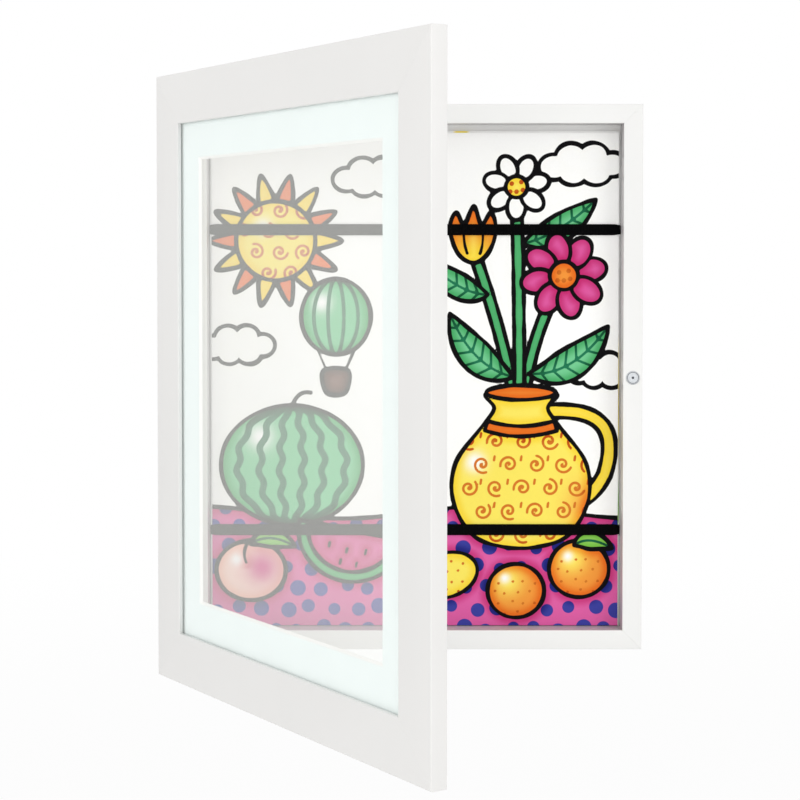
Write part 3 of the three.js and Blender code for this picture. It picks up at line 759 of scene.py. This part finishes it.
# A spiral whose radius grows evenly with its angle.
def spiral(x, z, radius, start, turns=1.6, count=30):
    t = np.linspace(0, 1, count)
    angle = start + 2 * math.pi * turns * t
    return np.column_stack([x + radius * t * np.cos(angle), z + radius * t * np.sin(angle)])


# The grid's step, the widths of lines, and the distance that stands for no line near.
drawing = dict(step=1.0, line=2.7, thin=1.7, patternLine=1.6, far=9.0, batch=20000, tiny=1e-12)


# Distance from each place to a line of segments, the least over them of the distance to the nearest
# point of each. A closed loop also tells which places it holds, by the parity of crossings.
def reachOf(places, line, closed):
    start, end = (line, np.roll(line, -1, 0)) if closed else (line[:-1], line[1:])
    a, along = start[None], (end - start)[None]
    tiny = drawing["tiny"]
    rise = np.where(np.abs(along[..., 1]) < tiny, tiny, along[..., 1])
    best = np.full(len(places), np.inf)
    inside = np.zeros(len(places), bool)
    for begin in range(0, len(places), drawing["batch"]):
        some = slice(begin, begin + drawing["batch"])
        p = places[some, None, :]
        t = np.clip(((p - a) * along).sum(-1) / np.maximum((along ** 2).sum(-1), tiny), 0, 1)
        gap = p - a - t[..., None] * along
        best[some] = np.sqrt((gap ** 2).sum(-1).min(1))
        if closed:
            over = (a[..., 1] > p[..., 1]) != (end[None, :, 1] > p[..., 1])
            cross = over & (p[..., 0] < along[..., 0] * (p[..., 1] - a[..., 1]) / rise + a[..., 0])
            inside[some] = cross.sum(1) % 2 == 1
    return best, inside


# The sheet's fields: how far each place is from line work, and its colours. Shapes are laid from the
# back forwards. Inside a shape the fields start afresh, and its edge is hidden under its own line.
class DrawnSheet:
    def __init__(self, places):
        self.places = places
        self.lineGap = np.full(len(places), drawing["far"])
        self.patternGap = np.full(len(places), drawing["far"])
        self.fill = np.tile(linear(inks["white"]), (len(places), 1))
        self.pattern = self.fill.copy()

    def near(self, line, margin):
        low, high = line.min(0) - margin, line.max(0) + margin
        return np.flatnonzero(np.all((self.places > low) & (self.places < high), axis=1))

    # Loops given as a list join into one shape, whose distance is the least of theirs, negative inside.
    def lay(self, loops, fill, pattern=None, marks=(), dots=(), markWidth=None, blush=()):
        loops = loops if isinstance(loops, list) else [loops]
        chosen = self.near(np.vstack(loops), drawing["far"])
        signed = np.full(len(chosen), np.inf)
        for loop in loops:
            gap, within = reachOf(self.places[chosen], loop, True)
            signed = np.minimum(signed, np.where(within, -gap, gap))
        inside, edge = signed < 0, np.abs(signed) - drawing["line"] / 2
        held = chosen[inside]
        self.lineGap[held] = edge[inside]
        self.lineGap[chosen[~inside]] = np.minimum(self.lineGap[chosen[~inside]], edge[~inside])
        self.fill[held] = linear(inks[fill])
        for colour, x, z, radius in blush:  # soft spots, strongest in their middle
            apart = np.linalg.norm(self.places[held] - (x, z), axis=1)
            share = np.exp(-(apart / radius) ** 2)[:, None]
            self.fill[held] = self.fill[held] * (1 - share) + linear(inks[colour]) * share
        self.patternGap[held] = drawing["far"]
        if pattern is not None:
            self.pattern[held] = linear(inks[pattern])
            width = markWidth or drawing["patternLine"]
            for mark in marks:
                close = np.intersect1d(self.near(mark, width + 2), held)
                if len(close):
                    apart, _ = reachOf(self.places[close], mark, False)
                    self.patternGap[close] = np.minimum(self.patternGap[close], apart - width / 2)
            for x, z, radius in dots:
                apart = np.linalg.norm(self.places[held] - (x, z), axis=1) - radius
                self.patternGap[held] = np.minimum(self.patternGap[held], apart)

    def stroke(self, line, width=None):
        width = width or drawing["thin"]
        chosen = self.near(line, width + 3)
        gap, _ = reachOf(self.places[chosen], line, False)
        self.lineGap[chosen] = np.minimum(self.lineGap[chosen], gap - width / 2)


# Places of a slanted lattice with rows 0.87 of the pitch apart, each moved off it by a wobble whose
# way turns from spot to spot.
def lattice(x0, x1, z0, z1, pitch, wobble=0.0):
    rows, columns = np.arange(z0, z1, pitch * 0.87), np.arange(x0, x1, pitch)
    spots = np.array([(x + (i % 2) * pitch / 2, z) for i, z in enumerate(rows) for x in columns])
    turn = 2.4 * np.arange(len(spots))
    return spots + wobble * np.column_stack([np.cos(turn), np.sin(1.7 * turn)])


# Where each thing of the still life stands, in millimetres from the sheet's middle. Ovals are given by
# place and half widths, curves by three points, and lattices by their limits, pitch and wobble.
stillLife = dict(
    clouds=((-26, 128, 25, 12), (106, 136, 27, 13), (-112, 22, 23, 12), (118, 6, 21, 11)),
    sun=(-88, 88, 25), rays=14, rayFoot=24, rayTip=42, rayHalf=5,
    sunSwirls=(-108, -66, 68, 110, 15), sunSwirl=5.2,
    balloon=(-50, 40, 22, 24), gores=(5, 14), goreLine=2.4, cords=((12, -20), (5, -36)),
    basket=((-58, 6), (-42, 6), (-44, -8), (-56, -8)), shine=(-9, 9, 6),
    cloth=(-150, 150, -190), clothTop=-84, clothWave=(4, 30),
    clothSpots=(-134, 136, -158, -78, 15, 1.5), spotSize=(4.4, 0.6),
    melon=(-78, -54, 45, 38), melonStripes=(-34, -20, -7, 7, 20, 34), stripeWave=(1.4, 16), stripeLine=4.2,
    melonStem=((-78, -17), (-74, -6), (-66, -8)), melonStemLine=2.4,
    peach=(-104, -121, 22, 19), peachCrease=((-106, -103), (-110, -110), (-107, -116)),
    peachLeaf=((-104, -104), (-92, -96), (-76, -106)),
    slice=(-40, -96), rind=34, flesh=28, fleshLift=0.6, sliceTurn=-12, sliceDepth=0.95,
    seeds=((-54, -103), (-43, -107), (-31, -108), (-47, -114), (-37, -116)), seed=(-0.6, -2.6), seedLine=1.9,
    stemWidth=6.4, stems=(((64, -14), (52, 40), (38, 78)), ((68, -14), (74, 30), (92, 62)),
                          ((66, -14), (66, 60), (64, 112))),
    leaves=(((62, 2), (36, 8), (22, 42), 20, 5), ((72, 4), (100, 2), (122, 34), 20, 5),
            ((68, 86), (92, 92), (114, 114), 17, 4), ((46, 54), (28, 54), (4, 78), 16, 4)),
    blooms=((94, 66, 17, 10.5, 8, "pink", "orange"), (64, 122, 13, 8, 7, "white", "yellow")),
    firstPetal=12, petalWidth=0.72, heart=0.85, bloomBlush=15,
    bloomDots=((-3, 2), (3, 3), (0, -3), (-4, -3), (4, -2)), bloomDot=1.5,
    tulip=((22, 96), (26, 106), (31, 98), (37, 110), (42, 98), (48, 106), (51, 94), (46, 80), (37, 74),
           (27, 80)),
    tulipFolds=(((31, 98), (30, 88), (33, 80)), ((42, 98), (44, 88), (41, 80))),
    handle=((84, -20), (134, -16), (120, -60), (112, -76), (100, -78)), handleWidth=8.5,
    jug=((46, -8), (88, -8), (84, -18), (92, -30), (108, -52), (110, -76), (98, -98), (78, -106), (56, -106),
         (36, -98), (24, -76), (26, -52), (42, -30), (50, -18)),
    jugSwirls=(34, 106, -98, -34, 17), jugSwirl=5.6, tick=((7.5, 2.5), (7.9, 5.2)),
    mouth=(67, -8, 22, 4.6), neck=((45, -29), (67, -36), (89, -29)), neckWidth=6.5,
    oranges=((104, -120, 19), (64, -134, 18)), orangeDepth=0.95, orangePores=(-14, 12, -14, 12),
    orangeLeaf=((101, -105), (110, -98), (125, -107)),
    lemon=(20, -124, 20, 14, 18), lemonPores=(6, 34, -134, -114, 7, 0.9), fruitLeaf=11, pore=0.95,
)
# Soft spots of colour on the shapes: colour, place and reach.
blushes = dict(
    sun=[("white", -96, 97, 5)], melon=[("white", -98, -36, 8)], tulip=[("yellow", 37, 78, 15)],
    peach=[("magenta", -97, -119, 11), ("white", -113, -114, 4)], lemon=[("white", 13, -120, 4)],
    jug=[("orange", 112, -80, 15), ("white", 38, -52, 6)],
)


# Clouds as joined ovals, and a sun whose rays are smooth loops through three points.
def drawSky(sheet):
    v = stillLife
    for cloud in v["clouds"]:
        sheet.lay(puffs(*cloud), "white")
    x, z, radius = v["sun"]
    for k in range(v["rays"]):
        angle = 2 * math.pi * k / v["rays"]
        out = np.array([math.cos(angle), math.sin(angle)])
        side = np.array([-out[1], out[0]]) * v["rayHalf"]
        foot, tip = (np.array([x, z]) + v[end] * out for end in ("rayFoot", "rayTip"))
        sheet.lay(smoothLoop([foot - side, tip, foot + side], 6), "orange" if k % 2 else "yellow")
    swirls = [spiral(sx, sz, v["sunSwirl"], sx * 0.7 + sz) for sx, sz in lattice(*v["sunSwirls"])]
    sheet.lay(oval(x, z, radius, radius), "yellow", "swirl", swirls, blush=blushes["sun"])


# A balloon: an oval with narrower ovals as its gores, two cords and a basket.
def drawBalloon(sheet):
    v = stillLife
    x, z, rx, rz = v["balloon"]
    for hand in (-1, 1):
        sheet.stroke(np.array([(x + hand * dx, z + dz) for dx, dz in v["cords"]]))
    gores = [oval(x, z, w, rz) for w in v["gores"]]
    dx, dz, reach = v["shine"]
    sheet.lay(oval(x, z, rx, rz), "green", "darkGreen", gores, markWidth=v["goreLine"],
              blush=[("white", x + dx, z + dz, reach)])
    sheet.lay(smoothLoop(v["basket"], 5), "brown")


# A cloth whose top is a sine, and spots of slightly uneven size on a lattice.
def drawCloth(sheet):
    v = stillLife
    left, right, foot = v["cloth"]
    x = np.linspace(left, right, 60)
    height, length = v["clothWave"]
    top = np.column_stack([x, v["clothTop"] + height * np.sin(x / length)])
    cloth = np.vstack([top, [(right, foot), (left, foot)]])
    size, change = v["spotSize"]
    spots = [(sx, sz, size + change * math.sin(1.3 * k))
             for k, (sx, sz) in enumerate(lattice(*v["clothSpots"]))]
    sheet.lay(cloth, "pink", "blue", dots=spots)


def drawFruitLeaf(sheet, stem):
    sheet.lay(leafLoop(*stem, stillLife["fruitLeaf"]), "leaf", "darkGreen", [curve(*stem)])


# A melon whose stripes bulge by sqrt(1 - t^2) of their place and wave a little, a peach with a leaf,
# and a slice of melon, the lower half of an oval in rind and flesh.
def drawMelon(sheet):
    v = stillLife
    x, z, rx, rz = v["melon"]
    t = np.linspace(-1, 1, 30)
    bulge, wave = np.sqrt(np.maximum(1 - t ** 2, 0)), v["stripeWave"][0] * np.sin(t * v["stripeWave"][1])
    stripes = [np.column_stack([x + w * bulge + wave, z + rz * t]) for w in v["melonStripes"]]
    sheet.lay(oval(x, z, rx, rz), "green", "darkGreen", stripes, markWidth=v["stripeLine"],
              blush=blushes["melon"])
    sheet.stroke(curve(*v["melonStem"]), v["melonStemLine"])

    sheet.lay(oval(*v["peach"]), "skin", blush=blushes["peach"])
    sheet.stroke(curve(*v["peachCrease"]))
    drawFruitLeaf(sheet, v["peachLeaf"])

    t = np.linspace(math.pi, 2 * math.pi, 40)
    c, s = math.cos(math.radians(v["sliceTurn"])), math.sin(math.radians(v["sliceTurn"]))
    for radius, lift, colour in ((v["rind"], 0.0, "green"), (v["flesh"], v["fleshLift"], "pink")):
        a, b = radius * np.cos(t), radius * np.sin(t) * v["sliceDepth"] + lift
        sheet.lay(np.column_stack([v["slice"][0] + a * c - b * s, v["slice"][1] + a * s + b * c]), colour)
    for sx, sz in v["seeds"]:
        sheet.stroke(np.array([(sx, sz), (sx + v["seed"][0], sz + v["seed"][1])]), v["seedLine"])


# Stems, leaves, two round blooms with petals as ovals round a heart, and a tulip.
def drawFlowers(sheet):
    v = stillLife
    for stem in v["stems"]:
        sheet.lay(band(curve(*stem), v["stemWidth"]), "green")
    for leaf in v["leaves"]:
        sheet.lay(leafLoop(*leaf[:4]), "green", "darkGreen", leafVeins(*leaf))
    for x, z, reach, petal, count, colour, heart in v["blooms"]:
        blush = [("magenta", x, z, v["bloomBlush"])] if colour == "pink" else []
        for k in range(count):
            angle = 360 * k / count + v["firstPetal"]
            px, pz = x + reach * math.cos(math.radians(angle)), z + reach * math.sin(math.radians(angle))
            sheet.lay(oval(px, pz, petal, petal * v["petalWidth"], angle, 40), colour, blush=blush)
        dots = [(x + dx, z + dz, v["bloomDot"]) for dx, dz in v["bloomDots"]]
        sheet.lay(oval(x, z, petal * v["heart"], petal * v["heart"]), heart, "swirl", dots=dots)
    sheet.lay(smoothLoop(v["tulip"], 7), "orange", blush=blushes["tulip"])
    for fold in v["tulipFolds"]:
        sheet.stroke(curve(*fold))


# A jug with a bent handle, swirls and ticks on a lattice, an oval mouth and a band round its neck.
def drawJug(sheet):
    v = stillLife
    a, b, c, d, e = v["handle"]
    handle = np.vstack([curve(a, b, c, 20), curve(c, d, e, 10)[1:]])
    sheet.lay(band(handle, v["handleWidth"]), "yellow")
    places = lattice(*v["jugSwirls"])
    swirls = [spiral(x, z, v["jugSwirl"], x + z) for x, z in places]
    ticks = [place + v["tick"] for place in places]
    sheet.lay(smoothLoop(v["jug"]), "yellow", "swirl", swirls + ticks, blush=blushes["jug"])
    sheet.lay(oval(*v["mouth"]), "orange")
    sheet.lay(band(curve(*v["neck"]), v["neckWidth"]), "orange")


# Two oranges with a leaf, and a lemon, all with pores on a lattice.
def drawFruit(sheet):
    v = stillLife
    left, right, low, high = v["orangePores"]
    for x, z, r in v["oranges"]:
        pores = [(px, pz, v["pore"]) for px, pz in lattice(x + left, x + right, z + low, z + high, 7.5, 0.9)]
        sheet.lay(oval(x, z, r, r * v["orangeDepth"]), "orange", "swirl", dots=pores,
                  blush=[("yellow", x - 5, z + 6, 9), ("white", x - 7, z + 8, 3)])
    drawFruitLeaf(sheet, v["orangeLeaf"])
    pores = [(px, pz, v["pore"]) for px, pz in lattice(*v["lemonPores"])]
    sheet.lay(oval(*v["lemon"]), "yellow", "swirl", dots=pores, blush=blushes["lemon"])


bow = dict(strapZ=95.0, middle=0.4, curl=0.5, leastCurl=0.4, thickness=0.3, rearShare=0.85)


# The sheet is a grid. Between the straps it bows forward by a squared cosine, less the fourth power
# across, and its free ends curl by the square of the distance past the strap, more at the corners. A
# skirt, a rear border and one flat face close it.
def buildArt():
    v = bow
    low, high = closedBox("art_sheet")
    middle = (low[2] + high[2]) / 2
    columns, rows = (int(round((high[k] - low[k]) / drawing["step"])) + 1 for k in (0, 2))
    x, z = np.linspace(low[0], high[0], columns), np.linspace(low[2], high[2], rows) - middle
    gridX, gridZ = (g.ravel() for g in np.meshgrid(x, z))
    share = gridX / high[0]
    inner = v["middle"] * np.cos(np.clip(gridZ / v["strapZ"], -1, 1) * math.pi / 2) ** 2 * (1 - share ** 4)
    past = np.maximum(np.abs(gridZ) - v["strapZ"], 0) / (high[2] - middle - v["strapZ"])
    outer = v["curl"] * past ** 2 * (v["leastCurl"] + (1 - v["leastCurl"]) * share ** 2)
    y = high[1] - v["thickness"] - inner - outer
    front = np.column_stack([gridX, y, gridZ + middle])
    sheet = DrawnSheet(np.column_stack([gridX, gridZ]))
    for draw in (drawSky, drawBalloon, drawCloth, drawMelon, drawFlowers, drawJug, drawFruit):
        draw(sheet)
    index = np.arange(rows * columns).reshape(rows, columns)
    rim = np.concatenate([index[0, :-1], index[:-1, -1], index[-1, :0:-1], index[:0:-1, 0]])
    rear = front[rim] + (0, v["thickness"], 0)
    flat = np.column_stack([rear[:, 0] * v["rearShare"], np.full(len(rim), high[1]),
                            (rear[:, 2] - middle) * v["rearShare"] + middle])
    count, first = len(rim), len(front)
    here, after = np.arange(count), (np.arange(count) + 1) % count
    skirt = np.column_stack([rim, rim[after], first + after, first + here])
    border = np.column_stack([first + here, first + after, first + count + after, first + count + here])
    faces = np.vstack([gridFaces(rows, columns), skirt, border]).tolist()
    faces += [list(range(first + 2 * count - 1, first + count - 1, -1))]
    white = np.tile(linear(inks["white"]), (2 * count, 1))
    extras = {}
    for key in ("lineGap", "patternGap"):
        extras[key] = np.concatenate([getattr(sheet, key), np.full(2 * count, drawing["far"])])
    for key in ("fill", "pattern"):
        extras[key] = np.column_stack([np.vstack([getattr(sheet, key), white]), np.ones(first + 2 * count)])
    makePiece("art_sheet", np.vstack([front, rear, flat]) * mm, faces, extras=extras, sharp=40.0)


buildArt()
print("sheets made")


# Hardware

# The bevel in millimetres for each kind of fitting.
hardware = {
    "*_leaf": 0.12, "*_pin": 0.10, "*_point_?": 0.08, "*_staple_*": 0.08, "*_hanger": 0.10, "*_rivet_?": 0.10,
    "strike_plate": 0.16,
}
for node in sorted(bodyOf):
    for kind, width in hardware.items():
        if fnmatchcase(node, kind):
            easedCopy(node, width * mm)


# A turned surface: each ring's radius times cosine and sine of the angles, and its height along the
# given way. Radius and height hold a row for each ring, of one value or of one for each side.
def turnedPoints(radius, height, angles, centre, towards):
    towards = np.array(towards, float)
    first = np.cross(towards, (0, 0, 1.0))
    first /= np.linalg.norm(first)
    second = np.cross(towards, first)
    ring = np.cos(angles)[:, None] * first + np.sin(angles)[:, None] * second
    points = radius[..., None] * ring[None] + height[..., None] * towards
    return points.reshape(-1, 3) + centre


magnetShape = dict(
    radius=4.3, depth=5.0, rim=0.7, groove=0.24, grooveDepth=0.36, lean=0.03, recess=0.08, edge=0.28,
    edgeSteps=6, soft=0.08, rear=0.3, hole=0.7, holeEdge=0.1, holeFloor=0.9, holeDepth=0.36, sides=72,
)


# A pot magnet: a rounded steel rim, a groove filled dark, partly as a filler and partly as painted shade, and a
# slightly sunk disc with a small hole painted dark as painted shade.
def buildMagnet():
    v = magnetShape
    low, high = closedBox("catch_magnet")
    centre = np.array([(low[0] + high[0]) / 2, low[1], (low[2] + high[2]) / 2])
    radius, soft, lean, sunk = v["radius"], v["soft"], v["lean"], -v["recess"]
    outer = [(radius - v["edge"] * (1 - math.cos(a)), -v["edge"] * (1 - math.sin(a)))
             for a in np.linspace(0, math.pi / 2, v["edgeSteps"])]
    inner = radius - v["rim"]
    disc = inner - v["groove"]
    profile = np.array([(radius - v["rear"], -v["depth"]), (radius, v["rear"] - v["depth"])] + outer + [
        (inner + soft, 0), (inner, -soft),
        (inner - lean, -v["grooveDepth"]), (disc + lean, -v["grooveDepth"]),
        (disc, sunk - soft), (disc - soft, sunk),
        (v["hole"] + v["holeEdge"], sunk), (v["hole"], sunk - v["holeEdge"]),
        (v["hole"] * v["holeFloor"], -v["holeDepth"])])
    count, rows = v["sides"], len(profile)
    angles = fullTurn(count)
    points = turnedPoints(profile[:, :1], profile[:, 1:], angles, centre, (0, -1, 0))
    faces = tubeFaces(rows, count)
    groove = 2 + len(outer) + 1  # the profile's rings before the groove's first wall
    # The groove is darkened partly as filler and partly as painted shade, the hole's wall and floor as painted
    # shade.
    fillAndShadeRings = (groove, groove + 1, groove + 2, rows - 2)  # the groove, and the hole's wall
    dark = [r * count + k for r in fillAndShadeRings for k in range(count)] + [len(faces) - 1]
    makePiece("catch_magnet", points * mm, faces, sharp=30.0, also=(grooveFillAndShade, dark))


buildMagnet()

screwShape = dict(
    radius=2.1, edge=0.08, shank=1.0, length=6.5, tip=1.2, point=0.08, slot=0.3, slotSlope=0.1, slotReach=1.4,
    slotEnd=0.35, slotDepth=0.75, middle=0.03, sides=72, rings=22,
)


# A countersunk head with a cross recess: on the head's disc the height falls by the recess's depth
# where the lesser of |a| and |b|, the distances from the two slot lines, is under half a slot.
def buildScrew(node, towards):
    v = screwShape
    low, high = closedBox(node)
    centre = (low + high) / 2
    axis = int(np.argmax(np.abs(towards)))
    centre[axis] = high[axis] if towards[axis] > 0 else low[axis]
    angles = fullTurn(v["sides"])
    ones = np.ones(v["sides"])
    radius = np.linspace(v["middle"], v["radius"] - v["edge"], v["rings"])[:, None] * ones
    apart = np.minimum(np.abs(radius * np.cos(angles)), np.abs(radius * np.sin(angles)))
    slotted = np.clip((v["slot"] - apart) / v["slotSlope"], 0, 1)
    slotted *= np.clip((v["slotReach"] - radius) / v["slotEnd"], 0, 1)
    shank = np.array([(v["radius"], -v["edge"]), (v["shank"], v["shank"] - v["radius"]),
                      (v["shank"], v["tip"] - v["length"]), (v["point"], -v["length"])])
    radius = np.vstack([radius, shank[:, :1] * ones])
    height = np.vstack([-v["slotDepth"] * slotted, shank[:, 1:] * ones])
    points = turnedPoints(radius, height, angles, centre, towards)
    makePiece(node, points * mm, tubeFaces(*radius.shape), sharp=30.0)


for node in sorted(bodyOf):
    if "screw" in node:
        buildScrew(node, (-1, 0, 0) if "_case_leaf_" in node else (0, 1, 0))
print("hardware made")

# The back panel keeps the shape of its solid.
for slot in frame["nodes"]["back_panel"].material_slots:
    slot.material = finishes["hardboard"]


# Camera, floor and light

# Place and sensor in millimetres, tilt down in degrees, focal length and frame in the photo's pixels.
view = dict(place=(-9.52, -1221.83, -95.63), down=1.72, focal=1918.4, rise=-0.10, frameSide=800, sensor=36)
camera = addObject("camera", bpy.data.cameras.new("camera"))
camera.location = [c * mm for c in view["place"]]
camera.rotation_euler = (math.radians(90 - view["down"]), 0, 0)
camera.data.sensor_width = view["sensor"]
camera.data.lens = view["focal"] / view["frameSide"] * view["sensor"]
camera.data.shift_y = view["rise"]
camera.data.clip_start = 0.01
bpy.context.scene.camera = camera

room = dict(  # metres
    floorZ=-0.62, floorRadius=2.4, floorSteps=96, floorColour=0.92, plainSpan=(0.25, 0.95), leastPlain=0.93,
    ambient=0.62, aim=(0.0, -0.1, -0.17),
)
lamps = dict(  # metres and watts
    front=dict(place=(0.0, -2.8, -0.1), size=1.6, watts=14.0),
    right=dict(place=(2.0, -2.0, 0.4), size=1.6, watts=14.0),
    left=dict(place=(-2.5, -1.5, 0.4), size=1.8, watts=18.5),
    above=dict(place=(0.3, -0.9, 2.2), size=1.6, watts=7.0),
)


# 1 for rays that come from the camera or that metal and glass send on, and 0 for all others.
def seenDirectly(tree):
    path = addNode(tree, "LightPath").outputs
    seen = doMath(tree, "MAXIMUM", path["Is Camera Ray"], path["Is Glossy Ray"])
    return doMath(tree, "MAXIMUM", seen, path["Is Transmission Ray"])


# The floor is a disc. Seen directly, floor and world are plain white, but near the object the floor
# keeps a share of its own light, so its shadow shows. Each lamp's own -Z looks from its place to the aim.
def buildRoom():
    radius = room["floorRadius"]
    t = fullTurn(room["floorSteps"])
    disc = np.column_stack([np.cos(t) * radius, np.sin(t) * radius, np.full(len(t), room["floorZ"])])
    mesh = bpy.data.meshes.new("floor")
    mesh.from_pydata(disc.tolist(), [], [list(range(len(t)))])
    floor = addObject("floor", mesh)
    material = bpy.data.materials.new("paleFloor")
    tree, out = clearTree(material, "OutputMaterial")
    lit = addNode(tree, "BsdfDiffuse", {"Color": (*[room["floorColour"]] * 3, 1)})
    glow = addNode(tree, "Emission", {"Color": (1, 1, 1, 1), "Strength": 1.0})
    level = objectPlace(tree, (1, 1, 0))
    apart = addNode(tree, "VectorMath", {0: level}, operation="LENGTH").outputs["Value"]
    near, far = (share * radius for share in room["plainSpan"])
    plain = spread(tree, apart, near, far, room["leastPlain"], 1.0, True)
    share = doMath(tree, "MULTIPLY", seenDirectly(tree), plain)
    mixed = addNode(tree, "MixShader", {0: share, 1: lit.outputs[0], 2: glow.outputs[0]})
    feed(tree, out, {"Surface": mixed.outputs[0]})
    mesh.materials.append(material)

    world = bpy.data.worlds.new("studio")
    bpy.context.scene.world = world
    tree, out = clearTree(world, "OutputWorld")
    strength = spread(tree, seenDirectly(tree), 0.0, 1.0, room["ambient"], 1.0)
    sky = addNode(tree, "Background", {"Color": (1, 1, 1, 1), "Strength": strength})
    feed(tree, out, {"Surface": sky.outputs[0]})

    for name, v in lamps.items():
        lamp = bpy.data.lights.new(name, "AREA")
        lamp.energy, lamp.size = v["watts"], v["size"]
        holder = addObject(name, lamp)
        holder.location = v["place"]
        x, y, z = np.array(room["aim"]) - v["place"]
        holder.rotation_euler = (math.acos(-z / math.hypot(x, y, z)), 0, math.atan2(y, x) - math.pi / 2)


buildRoom()
bpy.context.scene.view_settings.view_transform = "Standard"
print("room made")
